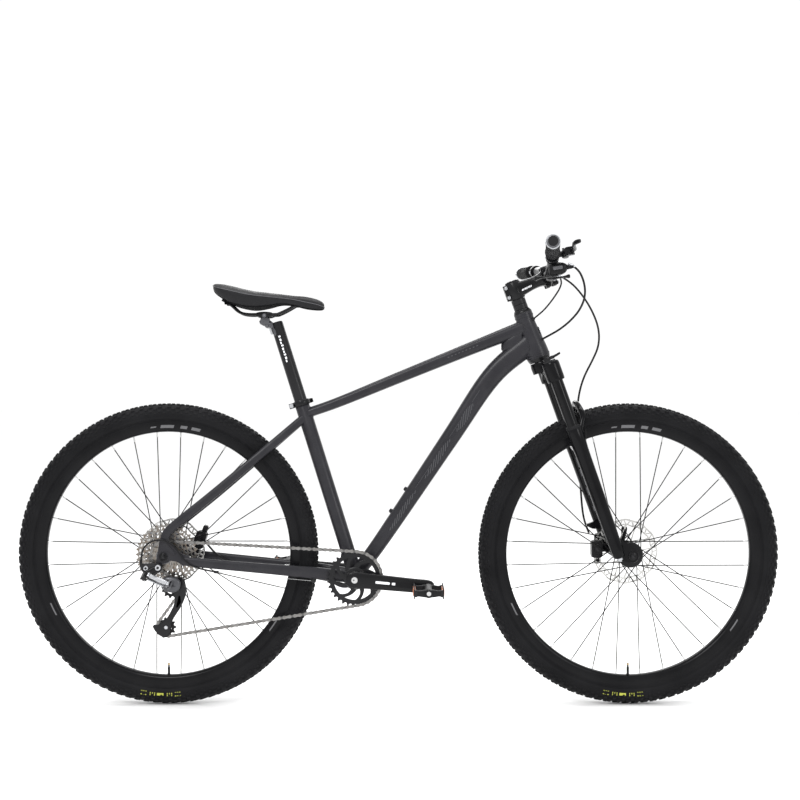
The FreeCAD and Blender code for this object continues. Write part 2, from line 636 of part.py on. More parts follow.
def pitch_radius(teeth):
    return size("chain_pitch") / (2 * math.sin(math.pi / teeth))


def pitch_formula(teeth):
    return "chain_pitch / (2 * sin(180 / (%s)))" % teeth


def cassette():
    plane = -size("chain_plane")
    in_use = CASSETTE_TEETH.index(int(size("cog_in_use_teeth")))
    cogs = []
    for i, teeth in enumerate(CASSETTE_TEETH):
        y = plane + (in_use - i) * size("cog_spacing")
        cogs.append(cross_cylinder("cog_%d" % teeth, pitch_formula(teeth) + " + tooth_height", "0.9",
                                   REAR_AXLE, offset=y))
    core_right = plane + (in_use - len(CASSETTE_TEETH) + 1) * size("cog_spacing")
    core_left = plane + in_use * size("cog_spacing")
    core = cylinder("cassette_core", "20", "%.3f" % (core_left - core_right),
                    REAR_AXLE + Vector(0, core_right, 0), ACROSS)
    bore = cross_cylinder("cassette_bore", "16.5 + clearance", "80", REAR_AXLE)
    keep(cut("cassette", fuse("cassette_blank", core, *cogs), bore))


def crank_frame(side):
    """A frame at the bottom bracket: X runs along the crank arm on that side (-1 is the right)."""
    angle = size("crank_rest_angle") + (0 if side < 0 else 180)
    return Placement(BRACKET, Rotation(Vector(0, 1, 0), angle))


def cranks():
    spindle = cross_cylinder("crank_spindle", "12", "74", BRACKET)
    arms, pedal_pins = [], []
    for side, name in ((-1, "right"), (1, "left")):
        frame = crank_frame(side)
        flat = frame * Placement(Vector(0, side * 70, 0), Rotation(Vector(1, 0, 0), 90))
        arm = plate("crank_arm_%s_bar" % name, [
            ("-12", "-19"), ("8", "-20"), ("crank_length - 8", "-16"), ("crank_length + 10", "-12"),
            ("crank_length + 15", "0"), ("crank_length + 10", "12"), ("crank_length - 8", "16"),
            ("8", "20"), ("-12", "19"), ("-19", "10"), ("-19", "-10")], "15", flat)
        boss = cross_cylinder("crank_boss_" + name, "18", "6", Vector(0, 0, 0), frame, offset=side * 56.5)
        pin_at = frame.multVec(Vector(size("crank_length"), 0, 0))
        outward = Vector(0, side, 0)
        shank = cylinder("pedal_shank_" + name, "7", "22", pin_at + outward * 66, outward)
        pin = cylinder("pedal_pin_" + name, "5", "96", pin_at + outward * 84, outward)
        pedal_pins.append(fuse("pedal_axle_" + name, shank, pin))
        arms.append(cut("crank_arm_" + name, fuse("crank_%s_blank" % name, arm, boss), spindle, shank))
    keep(group("crank_arms", *arms))
    keep(group("crank_and_pedal_axles", spindle, *pedal_pins))

    plane = -size("chain_plane")
    outer = cross_cylinder("ring_outside", pitch_formula("chainring_teeth") + " + tooth_height", "1.1",
                           BRACKET, offset=plane)
    window = cross_cylinder("ring_window", "51", "4", BRACKET, offset=plane)
    rim = cut("ring_rim", outer, window)
    hub = cross_cylinder("ring_hub", "21", "1.1", BRACKET, offset=plane)
    arms = [box("ring_arm%d" % k, ("38", "2.2", "8"), Vector(),
                Placement(BRACKET + Vector(0, plane, 0), Rotation(Vector(0, 1, 0), 45 * k))
                * Placement(Vector(36, 0, 6), Rotation(Vector(0, 1, 0), 18))) for k in range(8)]
    bore = cross_cylinder("ring_bore", "12", "4", BRACKET, offset=plane)
    keep(cut("chainring", fuse("ring_blank", rim, hub, *arms), bore))

    for side, name in ((-1, "right"), (1, "left")):
        centre = crank_frame(side).multVec(Vector(size("crank_length"), 0, 0)) + Vector(0, side * 135, 0)
        middle = cross_cylinder("pedal_%s_barrel" % name, "11", "45", centre)
        ends = [box("pedal_%s_end%d" % (name, k), ("62", "9", "15"), centre + Vector(0, k * 41, 0))
                for k in (-1, 1)]
        cages = [box("pedal_%s_cage%d" % (name, k), ("4", "92", "25"), centre + Vector(k * 33, 0, 0))
                 for k in (-1, 1)]
        bore = cross_cylinder("pedal_%s_bore" % name, "5 + clearance", "60", centre)
        keep(cut("pedal_" + name, fuse("pedal_%s_blank" % name, middle, *(ends + cages)), bore))


# ---------------------------------------------------------------- rear derailleur

GUIDE = Vector(-543, -size("chain_plane"), 286)
TENSION = Vector(-554.5, -size("chain_plane"), 194)
CAGE_PIVOT = Vector(-529, -62, 297)
LINK_START = Vector(-597, -84, 318)
LINK_END = Vector(-553, -77, 297)
LINK_LENGTH = (LINK_END - LINK_START).Length


def link_frame():
    """X along the parallelogram's links, Z along their hinge pins, Y the way the derailleur moves."""
    run = Vector(LINK_END - LINK_START).normalize()
    inward_and_down = Vector(0, 1, -1).normalize()
    pin = run.cross(inward_and_down).normalize()
    return Placement(LINK_START, Rotation(run, pin.cross(run), pin, "ZXY"))


LINKS = link_frame()
OUTER_LINK_SHIFT = Vector(3, -13, 0)


def derailleur():
    def pivot(name, radius, half, at):
        return cylinder(name, radius, str(2 * half), at - Vector(0, 0, half), frame=LINKS)

    def link(name, shift):
        far = Vector(LINK_LENGTH, 0, 0)
        barrels = [pivot(name + "_near", "3.6", 6, shift), pivot(name + "_far", "3.6", 6, shift + far)]
        web = box(name + "_web", ("%.3f" % LINK_LENGTH, "3", "12"), shift + far * 0.5, LINKS)
        holes = [pivot(name + "_hole_near", "1.8", 8, shift), pivot(name + "_hole_far", "1.8", 8, shift + far)]
        return keep(cut(name, fuse(name + "_blank", web, *barrels), *holes))

    link("derailleur_inner_link", Vector())
    link("derailleur_outer_link", OUTER_LINK_SHIFT)

    def forked(name, at, away):
        """Two ears with pins through both links; away points from the pins to the ears' root."""
        ears = []
        for z in (-8.3, 8.3):
            ear = box("%s_ear%d" % (name, z > 0), ("13", "24", "4"),
                      at + OUTER_LINK_SHIFT * 0.5 + Vector(away * 2.5, 0, z), LINKS)
            ears.append(ear)
        pins = [pivot("%s_pin%d" % (name, k), "1.5", 9, at + OUTER_LINK_SHIFT * k) for k in (0, 1)]
        root = box(name + "_root", ("4", "24", "20.6"),
                   at + OUTER_LINK_SHIFT * 0.5 + Vector(away * 10.5, 0, 0), LINKS)
        return ears + pins + [root]

    face = -(size("rear_dropout_gap") / 2 + 8.3)
    bolt_at = HANGER_BOLT + Vector(0, face, 0)
    boss = cylinder("knuckle_boss", "9", "14", bolt_at, Vector(0, -1, 0))
    knuckle_root = LINKS.multVec(OUTER_LINK_SHIFT * 0.5 + Vector(-10.5, 0, 8.3))
    arm = strut("knuckle_arm", bolt_at + Vector(-2, -7.5, 1), knuckle_root, "5.4")
    bolt = cylinder("knuckle_bolt", "3", "8", bolt_at + Vector(0, -2, 0), ACROSS)
    keep(fuse("derailleur_knuckle", boss, arm, bolt, *forked("knuckle", Vector(), -1)))

    far = Vector(LINK_LENGTH, 0, 0)
    cage_root = LINKS.multVec(far + OUTER_LINK_SHIFT * 0.5 + Vector(10.5, 0, 0))
    drum = cross_cylinder("carrier_drum", "12", "5", CAGE_PIVOT, offset=-4)
    carrier_arm = strut("carrier_arm", CAGE_PIVOT + Vector(0, -4, 0), cage_root, "5")
    pivot_pin = cross_cylinder("carrier_pin", "3", "4.4", CAGE_PIVOT, offset=4)
    keep(fuse("derailleur_carrier", drum, carrier_arm, pivot_pin, *forked("carrier", far, 1)))

    def cage_plate(name, y):
        outline = []
        for x, z in ((-12, 6), (2, 12), (12, 4), (13, -14), (6, -38), (-10, -70), (-14, -92), (-22, -112),
                     (-32, -113), (-40, -104), (-36, -86), (-20, -60), (-10, -32), (-16, -22), (-20, -6)):
            outline.append((str(x), str(z)))
        holes = [("0", "0", "3 + clearance")]
        return plate(name, outline, "1.6", sideways(Vector(CAGE_PIVOT.x, y, CAGE_PIVOT.z)), holes)

    outer = cage_plate("cage_outer_plate", -size("chain_plane") - 5.4)
    inner = cage_plate("cage_inner_plate", -size("chain_plane") + 5.4)
    bolts = [cross_cylinder("cage_bolt_%s" % n, "2.5", "6.2", p) for n, p in (("guide", GUIDE), ("tension", TENSION))]
    keep(fuse("derailleur_cage", outer, inner, *bolts))

    for name, at in (("guide_pulley", GUIDE), ("tension_pulley", TENSION)):
        disc = cross_cylinder(name + "_disc", pitch_formula("pulley_teeth") + " + 1.6", "1.1", at)
        hub = cross_cylinder(name + "_hub", "6", "4.2", at)
        bore = cross_cylinder(name + "_bore", "2.5 + clearance", "8", at)
        keep(cut(name, fuse(name + "_blank", disc, hub), bore))


def strut(name, start, end, radius):
    run = end - start
    return cylinder(name, radius, "%.4f" % run.Length, start, Vector(run).normalize())


def chain():
    """The chain as the two bands of its side plates, on the pitch line round four wheels."""
    stops = [(REAR_AXLE, pitch_radius(size("cog_in_use_teeth"))), (BRACKET, pitch_radius(size("chainring_teeth"))),
             (TENSION, pitch_radius(size("pulley_teeth"))), (GUIDE, -pitch_radius(size("pulley_teeth")))]

    def loop(offset):
        """The closed route, moved sideways: the wheels' centres are right of the direction of travel."""
        radii = [r + offset for c, r in stops]
        centres = [Vector(c.x, 0, c.z) for c, r in stops]
        arriving, leaving = [None] * 4, [None] * 4
        for i in range(4):
            j = (i + 1) % 4
            gap = centres[j] - centres[i]
            tilt = math.acos((radii[j] - radii[i]) / gap.Length)
            ahead = Vector(gap).normalize()
            left_of = Vector(-ahead.z, 0, ahead.x)
            normal = ahead * math.cos(tilt) - left_of * math.sin(tilt)
            leaving[i] = centres[i] - normal * radii[i]
            arriving[j] = centres[j] - normal * radii[j]
        edges = []
        for i in range(4):
            j = (i + 1) % 4
            a, b = arriving[i] - centres[i], leaving[i] - centres[i]
            turn = math.atan2(a.z, a.x) - math.atan2(b.z, b.x)
            turn = turn % (2 * math.pi) if radii[i] > 0 else -((-turn) % (2 * math.pi))
            middle_angle = math.atan2(a.z, a.x) - turn / 2
            middle = centres[i] + Vector(math.cos(middle_angle), 0, math.sin(middle_angle)) * abs(radii[i])
            edges.append(Part.Arc(arriving[i], middle, leaving[i]).toShape())
            edges.append(Part.LineSegment(leaving[i], arriving[j]).toShape())
        return Part.Wire(edges)

    band = Part.Face(loop(3.6)).cut(Part.Face(loop(-3.6)))
    bands = []
    for y in (-3.3, 1.4):
        shape = band.extrude(Vector(0, 1.9, 0))
        shape.translate(Vector(0, y - size("chain_plane"), 0))
        bands.append(shape.Solids[0])
    obj = doc.addObject("Part::Feature", "chain")
    obj.Shape = Part.makeCompound(bands)
    print("chain %.0f mm round its pitch line, %.1f links"
          % (loop(0).Length, loop(0).Length / size("chain_pitch")))
    keep(obj)


# ---------------------------------------------------------------- cockpit

BAR_MIDDLE = in_head(size("stem_length"), 0, 178)
GRIP_TIP = Vector(333, size("bar_half_width"), 1079)
BAR_POINTS = [BAR_MIDDLE, BAR_MIDDLE + Vector(0, 52, 0), Vector(360, 118, 1062), GRIP_TIP]
BAR_RUN = Vector(GRIP_TIP - BAR_POINTS[2]).normalize()


def bar_point(y):
    """The point of the handlebar's left end stretch at distance y from the middle."""
    return GRIP_TIP + BAR_RUN * ((y - GRIP_TIP.y) / BAR_RUN.y)


def mirror_vector(v):
    return Vector(v.x, -v.y, v.z)


def cockpit():
    route = [mirror_vector(p) for p in reversed(BAR_POINTS[1:])] + BAR_POINTS[1:]
    bar_tube = tube_along("bar_tube", route, size("bar_radius"), size("bar_radius") - 2.5)
    middle = cross_cylinder("bar_middle", "bar_clamp_radius", "26", BAR_MIDDLE)
    hollow = cross_cylinder("bar_hollow", "bar_radius - 2.5", "30", BAR_MIDDLE)
    keep(cut("handlebar", fuse("handlebar_blank", bar_tube, middle), hollow))

    clamp = cylinder("stem_clamp", "steerer_radius + 5", "42", Vector(0, 0, 151), frame=HEAD)
    clamp_lug = box("stem_lug", ("12", "24", "38"), Vector(-19, 0, 172), HEAD)
    reach = strut_box("stem_reach", Vector(8, 0, 172), Vector(size("stem_length") - 12, 0, 177.4))
    bar_clamp = cross_cylinder("stem_bar_clamp", "bar_clamp_radius + 5", "23", BAR_MIDDLE)
    steerer_room = cylinder("stem_steerer_room", "steerer_radius", "60", Vector(0, 0, 140), frame=HEAD)
    bar_room = cross_cylinder("stem_bar_room", "bar_clamp_radius", "40", BAR_MIDDLE)
    split = box("stem_split", ("60", "60", "60"), Vector(size("stem_length") + 33, 0, 178), HEAD)
    bar_clamp_back = cut("stem_clamp_back", bar_clamp, split)
    stem_body = cut("stem_body", fuse("stem_blank", clamp, clamp_lug, reach, bar_clamp_back),
                    steerer_room, bar_room)
    plate_space = cylinder("faceplate_space", "40", "60", Vector(size("stem_length") + 3.6, 0, 178),
                           Vector(1, 0, 0), HEAD)
    faceplate = cut("faceplate_part", common("faceplate_blank", bar_clamp, plate_space), bar_room)
    spacers = []
    low = size("head_tube_length") + 9.4
    for k in range(2):
        ring = cylinder("spacer%d" % k, "17.5", "12.6", Vector(0, 0, low + 12.9 * k), frame=HEAD)
        spacers.append(cut("spacer_ring%d" % k, ring, spacer_bore(k)))
    cap = cylinder("steerer_cap", "17.5", "4", Vector(0, 0, 193.3), frame=HEAD)
    cap_bolt = cylinder("steerer_cap_bolt", "4", "4", Vector(0, 0, 196.5), frame=HEAD)
    keep(group("stem", stem_body, faceplate, fuse("top_cap", cap, cap_bolt), *spacers))

    grips = []
    for side, name in ((1, "left"), (-1, "right")):
        tip, run = (GRIP_TIP, BAR_RUN) if side > 0 else (mirror_vector(GRIP_TIP), mirror_vector(BAR_RUN))
        start = tip - run * size("grip_length")
        body = cylinder("grip_body_" + name, "grip_radius", "grip_length", start, run)
        room = cylinder("grip_room_" + name, "bar_radius", "grip_length", start - run * 4, run)
        room_far = cylinder("bar_end_room_" + name, "bar_radius", "grip_length + 0.01", start - run * 0.01, run)
        grips.append(cut("grip_" + name, body, room, room_far))
    keep(group("grips", *grips))


def common(name, *shapes):
    obj = doc.addObject("Part::MultiCommon", name)
    obj.Shapes = list(shapes)
    return obj


def spacer_bore(k):
    return cylinder("spacer_bore%d" % k, "steerer_radius", "80", Vector(0, 0, 100), frame=HEAD)


def strut_box(name, start, end):
    """A bar of box section between two points of the head frame."""
    run = end - start
    turn = Rotation(Vector(1, 0, 0), run)
    return box(name, ("%.3f" % run.Length, "30", "31"), (start + end) * 0.5, HEAD, turn)


# ---------------------------------------------------------------- controls on the bar

def on_bar(side, y):
    """A frame on the bar: X forward, Y outward along the bar on that side, Z up."""
    at, run = bar_point(y), Vector(BAR_RUN)
    if side < 0:
        at, run = mirror_vector(at), mirror_vector(run) * -1
    ahead = Vector(1, 0, 0.14)
    up = ahead.cross(run).normalize()
    return Placement(at, Rotation(run.cross(up), run, up, "ZYX"))


def bar_controls():
    """The brake levers' bodies and the shifter's pod share a node: all are clamped to the bar."""
    bodies = [shifter()]
    for side, name in ((-1, "right"), (1, "left")):
        frame = on_bar(side, 178)
        ring = cross_cylinder("brake_clamp_" + name, "bar_radius + 4.5", "7", Vector(), frame)
        tank = cross_cylinder("brake_cylinder_" + name, "9", "24", Vector(30, side * 2, 2), frame)
        neck = box("brake_neck_" + name, ("22", "12", "12"), Vector(18, 0, 2), frame)
        ears = [box("brake_ear%d_%s" % (k, name), ("16", "14", "3.5"),
                    Vector(40, side * 20, 2 + k * 7.5), frame) for k in (-1, 1)]
        pin = cylinder("brake_pin_" + name, "2.2", "18", Vector(43, side * 22, -7), frame=frame)
        bar_room = cross_cylinder("brake_bar_room_" + name, "bar_radius", "20", Vector(), frame)
        lever_room = cylinder("brake_lever_room_" + name, "9.2", "11.4", Vector(43, side * 22, -3.7), frame=frame)
        solid = cut("brake_shell_" + name, fuse("brake_blank_" + name, ring, tank, neck, *ears), bar_room, lever_room)
        bodies.append(fuse("brake_body_" + name, solid, pin))
        eye = cylinder("lever_eye_" + name, "7", "9.6", Vector(43, side * 22, -2.8), frame=frame)
        blade_in = box("lever_root_" + name, ("11", "30", "8"), Vector(47, side * 39, 2), frame)
        blade = box("lever_blade_" + name, ("9", "74", "10"), Vector(49, side * 86, 2), frame)
        hook = box("lever_hook_" + name, ("14", "9", "10"), Vector(53, side * 125, 2), frame)
        eye_bore = cylinder("lever_bore_" + name, "2.2 + clearance", "14", Vector(43, side * 22, -5), frame=frame)
        keep(cut("brake_lever_" + name, fuse("lever_blank_" + name, eye, blade_in, blade, hook), eye_bore))
    keep(group("bar_control_bodies", *bodies))


def shifter():
    frame = on_bar(-1, 150)
    ring = cross_cylinder("shifter_clamp", "bar_radius + 4", "5.5", Vector(), frame)
    pod = box("shifter_pod", ("42", "30", "24"), Vector(9, 0, -25), frame)
    nose = cylinder("shifter_barrel", "4.5", "14", Vector(29, 9, -27), Vector(1, 0.25, -0.1), frame)
    bar_room = cross_cylinder("shifter_bar_room", "bar_radius", "20", Vector(), frame)
    pin = cylinder("shifter_pin", "4", "16", Vector(-2, 0, -52), frame=frame)
    body = cut("shifter_body", fuse("shifter_blank", ring, pod, nose, pin), bar_room)

    main_eye = cylinder("main_lever_eye", "9", "4.5", Vector(-2, 0, -42.3), frame=frame)
    main_arm = box("main_lever_arm", ("40", "12", "4.5"), Vector(-20, 0, -40.05), frame)
    main_pad = box("main_lever_pad", ("9", "22", "12"), Vector(-43, -3, -42), frame)
    bore = cylinder("main_lever_bore", "4 + clearance", "26", Vector(-2, 0, -60), frame=frame)
    keep(cut("shift_lever_main", fuse("main_lever_blank", main_eye, main_arm, main_pad), bore))

    release_eye = cylinder("release_lever_eye", "8", "4.5", Vector(-2, 0, -49), frame=frame)
    release_arm = box("release_lever_arm", ("30", "10", "4.5"), Vector(14, 0, -46.75), frame)
    release_pad = box("release_lever_pad", ("8", "18", "10"), Vector(31, -4, -46), frame)
    release_bore = cylinder("release_lever_bore", "4 + clearance", "20", Vector(-2, 0, -60), frame=frame)
    keep(cut("shift_lever_release", fuse("release_lever_blank", release_eye, release_arm, release_pad), release_bore))
    return body


def lockout():
    """The knob on top of the right fork leg, and its lever."""
    top = -14 + size("clearance")
    at = Vector(size("leg_ahead"), -size("fork_half_width"), top)
    knob = cylinder("lockout_knob", "14", "9", at, frame=HEAD)
    paddle = box("lockout_paddle", ("20", "9", "6"), at + Vector(20, 0, 5), HEAD)
    keep(fuse("fork_lockout_lever", knob, paddle))


def quick_releases():
    top = size("seat_tube_length") - 7.5
    cam = cylinder("seat_cam", "6", "11", Vector(-25, 20.5, top - 5.5), frame=SEAT)
    arm = box("seat_lever_arm", ("44", "4", "9"), Vector(-2, 25, top), SEAT)
    tip = box("seat_lever_tip", ("9", "12", "11"), Vector(24, 22, top), SEAT)
    keep(fuse("seat_qr_lever", cam, arm, tip))
    front_out = size("front_dropout_gap") / 2 + 13 + 5.1
    rear_out = size("rear_dropout_gap") / 2 + 8 + 5.1
    for name, axle, out, lean in (("front_qr_lever", FRONT_AXLE, front_out, 6), ("rear_qr_lever", REAR_AXLE, rear_out, -70)):
        frame = Placement(axle + Vector(0, out + size("clearance"), 0), Rotation(Vector(0, 1, 0), lean))
        cam = cylinder(name + "_cam", "6.5", "15", Vector(-7.5, 6.5, 0), Vector(1, 0, 0), frame)
        arm = box(name + "_arm", ("10", "4", "48"), Vector(0, 10.5, 24), frame)
        tip = box(name + "_tip", ("15", "6", "14"), Vector(0, 11, 50), frame)
        keep(fuse(name, cam, arm, tip))


# ---------------------------------------------------------------- seat

POST_TOP = size("seat_tube_length") + size("post_exposed")
SADDLE_PIVOT = Vector(-323, 0, 928)
RAIL_HEIGHT = 943.5


def seatpost():
    start = size("seat_tube_length") - size("post_insertion")
    length = "%.3f" % (POST_TOP - start)
    tube = cylinder("post_tube", "seatpost_radius", length, Vector(0, 0, start), frame=SEAT)
    hollow = cylinder("post_hollow", "seatpost_radius - 2.2", "%.3f" % (POST_TOP - start - 24),
                      Vector(0, 0, start), frame=SEAT)
    head = cross_cylinder("post_head", "11.5", "16", SADDLE_PIVOT)
    neck = strut("post_neck", in_seat(0, 0, POST_TOP - 14), SADDLE_PIVOT, "10")
    keep(cut("seatpost", fuse("seatpost_blank", tube, head, neck), hollow))


def saddle():
    rail_y = 22
    rail_points = [Vector(-405, rail_y, 968), Vector(-395, rail_y, 951), Vector(-378, rail_y, RAIL_HEIGHT),
                   Vector(-276, rail_y, RAIL_HEIGHT), Vector(-257, rail_y - 3, 951), Vector(-238, rail_y - 9, 967)]
    left = tube_along("rail_left", rail_points, 3.5)
    right = mirrored("rail_right", left)
    rails = keep(group("saddle_rails", left, right))

    block = box("cradle_block", ("38", "58", "16"), Vector(SADDLE_PIVOT.x, 0, 942))
    head_room = cross_cylinder("cradle_head_room", "11.5 + clearance", "60", SADDLE_PIVOT)
    rail_rooms = [cylinder("cradle_rail_room%d" % k, "3.5 + clearance", "70",
                           Vector(SADDLE_PIVOT.x - 35, k * rail_y, RAIL_HEIGHT), Vector(1, 0, 0)) for k in (-1, 1)]
    keep(cut("saddle_clamp", block, head_room, *rail_rooms))

    stations = []
    for x, z, half_wide, half_tall in ((-446, 1006, 38, 5), (-430, 1000, 62, 12), (-395, 990, 73, 18),
                                       (-353, 984, 72, 19), (-310, 981.5, 52, 17.5), (-270, 980, 33, 13),
                                       (-225, 975, 24, 12.5), (-190, 968, 19, 9), (-179, 966, 12, 6)):
        stations.append((Vector(x, 0, z), Vector(1, 0, 0), str(half_wide), str(half_tall), ACROSS))
    keep(cut("saddle", loft("saddle_pad", stations, ruled=False), rails))


# ---------------------------------------------------------------- hoses and cables

def hoses():
    brake, housing = size("hose_radius"), size("housing_radius")
    front_to_port = [(398, -150, 1050), (416, -146, 1042), (432, -134, 1014), (438, -118, 982), (429, -98, 951),
                     (409, -73, 925), (385, -48, 905), (364, -25, 893)]
    port_to_caliper = [(-118, 22, 283), (-150, 30, 290), (-205, 38, 299), (-270, 45, 310), (-330, 50, 318),
                       (-388, 54, 327), (-430, 57, 341), (-459, 57, 362), (-476, 56, 385)]
    keep(group("rear_brake_hose",
               tube_along("rear_hose_ahead", [Vector(*p) for p in front_to_port], brake),
               tube_along("rear_hose_behind", [Vector(*p) for p in port_to_caliper], brake)))
    down_fork = [(412, 150, 1052), (436, 147, 1040), (466, 133, 1004), (490, 117, 960), (504, 103, 915),
                 (502, 93, 872), (484, 88, 834), (464, 86, 797), (452, 86, 759), (447, 86, 719),
                 (447, 87, 668), (449, 88, 613), (453, 88, 558), (456, 86, 503), (459, 83, 461),
                 (464, 74, 430), (472, 60, 408)]
    keep(tube_along("front_brake_hose", [Vector(*p) for p in down_fork], brake))
    to_port = [(372, -142, 1026), (382, -124, 1016), (381, -100, 1001), (372, -76, 984), (361, -52, 967),
               (349, -32, 952), (335, -21, 940)]
    over_dropout = [(-536, -82, 396), (-549, -84, 404), (-566, -85, 407), (-585, -86, 403), (-600, -87, 391),
                    (-607, -87, 374), (-608, -86, 357)]
    keep(group("shift_cable",
               tube_along("housing_ahead", [Vector(*p) for p in to_port], housing),
               tube_along("housing_behind", [Vector(*p) for p in over_dropout], housing),
               strut("shift_wire", Vector(-206, -47, 304), Vector(-430, -64, 327), "wire_radius")))


# ---------------------------------------------------------------- assembly

shell_space, seat_tube_space, head_tube_space = main_frame()
rear_end(shell_space, seat_tube_space)
collar_and_cups()
fork()
wheels()
keep(caliper("front_brake_caliper", Vector(487, 0, 371), 0, 36.9, FRONT_AXLE))
keep(caliper("rear_brake_caliper", Vector(-489, 0, 393), -20, 51.9, REAR_AXLE))
cassette()
cranks()
derailleur()
chain()
cockpit()
bar_controls()
lockout()
quick_releases()
seatpost()
saddle()
hoses()
doc.recompute()

failed = [o.Label for o in doc.Objects if {"Invalid", "Error"} & set(o.State)]
bad = [o.Label for o in NODES if o.Shape.isNull() or not o.Shape.isValid() or not o.Shape.Solids]
if failed or bad:
    raise SystemExit("failed: %s, bad shapes: %s" % (failed, bad))
os.makedirs("parts", exist_ok=True)
for node in NODES:
    node.Shape.exportStep("parts/%s.step" % node.Label)
print("%d nodes written" % len(NODES))
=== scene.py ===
"""The looks of a hardtail mountain bike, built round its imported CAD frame.

Lengths in this script are millimetres, in the CAD's own frame: X forward, Y to the rider's left,
Z up, with the drivetrain at negative Y. Meshes are scaled to metres when they are made.
"""
import json
import math

import bmesh
import bpy
from mathutils import Matrix, Vector


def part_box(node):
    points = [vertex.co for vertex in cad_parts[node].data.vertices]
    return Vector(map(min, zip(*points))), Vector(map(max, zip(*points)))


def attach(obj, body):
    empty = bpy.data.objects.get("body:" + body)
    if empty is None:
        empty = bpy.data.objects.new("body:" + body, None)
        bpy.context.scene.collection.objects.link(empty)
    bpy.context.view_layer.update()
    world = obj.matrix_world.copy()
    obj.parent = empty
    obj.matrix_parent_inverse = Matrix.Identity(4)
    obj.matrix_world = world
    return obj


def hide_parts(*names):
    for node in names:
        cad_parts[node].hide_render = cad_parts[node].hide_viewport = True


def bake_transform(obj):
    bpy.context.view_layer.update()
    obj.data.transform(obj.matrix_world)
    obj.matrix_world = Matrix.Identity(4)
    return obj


MM = 0.001
TAU = 2 * math.pi

bpy.ops.wm.read_factory_settings(use_empty=True)
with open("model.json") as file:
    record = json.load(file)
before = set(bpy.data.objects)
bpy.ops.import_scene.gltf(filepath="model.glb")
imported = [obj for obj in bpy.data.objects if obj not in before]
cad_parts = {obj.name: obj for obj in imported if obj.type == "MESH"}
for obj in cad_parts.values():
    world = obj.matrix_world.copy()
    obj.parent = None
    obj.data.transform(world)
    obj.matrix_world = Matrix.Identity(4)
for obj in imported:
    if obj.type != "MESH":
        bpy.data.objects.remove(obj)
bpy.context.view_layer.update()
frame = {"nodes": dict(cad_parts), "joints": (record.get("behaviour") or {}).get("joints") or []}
JOINTS = {joint["name"]: joint for joint in frame["joints"]}


def pivot(name):
    """Where a CAD joint is, in millimetres."""
    return Vector(JOINTS[name]["pos_m"]) / MM


def axis(name):
    return Vector(JOINTS[name]["axis"]).normalized()


# ---------------------------------------------------------------- places taken from the frame

X, Y, Z = Vector((1, 0, 0)), Vector((0, 1, 0)), Vector((0, 0, 1))
FRONT_AXLE, REAR_AXLE = pivot("front_wheel_spin"), pivot("rear_wheel_spin")
BRACKET = pivot("crank_spin")
HEAD_UP = axis("steering")
HEAD_AHEAD = Y.cross(HEAD_UP).normalized()
HEAD_LOW = pivot("steering")
SEAT_UP = axis("seatpost_height")
SEAT_AHEAD = Y.cross(SEAT_UP).normalized()
TYRE_RADIUS = (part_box("front_tyre")[1].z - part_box("front_tyre")[0].z) / 2 / MM
CHAIN_Y = pivot("guide_pulley_spin").y
PITCH = 12.7
RING_TEETH, COG_TEETH, PULLEY_TEETH = 32, 17, 11


def in_head(ahead, side, up):
    return HEAD_LOW + HEAD_AHEAD * ahead + Y * side + HEAD_UP * up


def in_seat(ahead, side, up):
    return BRACKET + SEAT_AHEAD * ahead + Y * side + SEAT_UP * up


# ---------------------------------------------------------------- mesh helpers

def place(origin, x_axis, z_axis):
    """A frame at origin with Z along z_axis and X as near x_axis as it can be."""
    z = Vector(z_axis).normalized()
    x = Vector(x_axis)
    x = (x - z * x.dot(z)).normalized()
    y = z.cross(x)
    m = Matrix((x, y, z)).transposed().to_4x4()
    m.translation = Vector(origin)
    return m


def upright(centre):
    """A frame whose Z runs to the rider's left, X forward and Y down: for anything round an axle."""
    return place(centre, X, Y)


def ring_points(radius_x, radius_y, count, power=2.0, turn=0.0):
    """A closed oval; a power above 2 makes it boxier."""
    points = []
    for i in range(count):
        a = TAU * i / count + turn
        c, s = math.cos(a), math.sin(a)
        points.append((radius_x * math.copysign(abs(c) ** (2 / power), c),
                       radius_y * math.copysign(abs(s) ** (2 / power), s)))
    return points


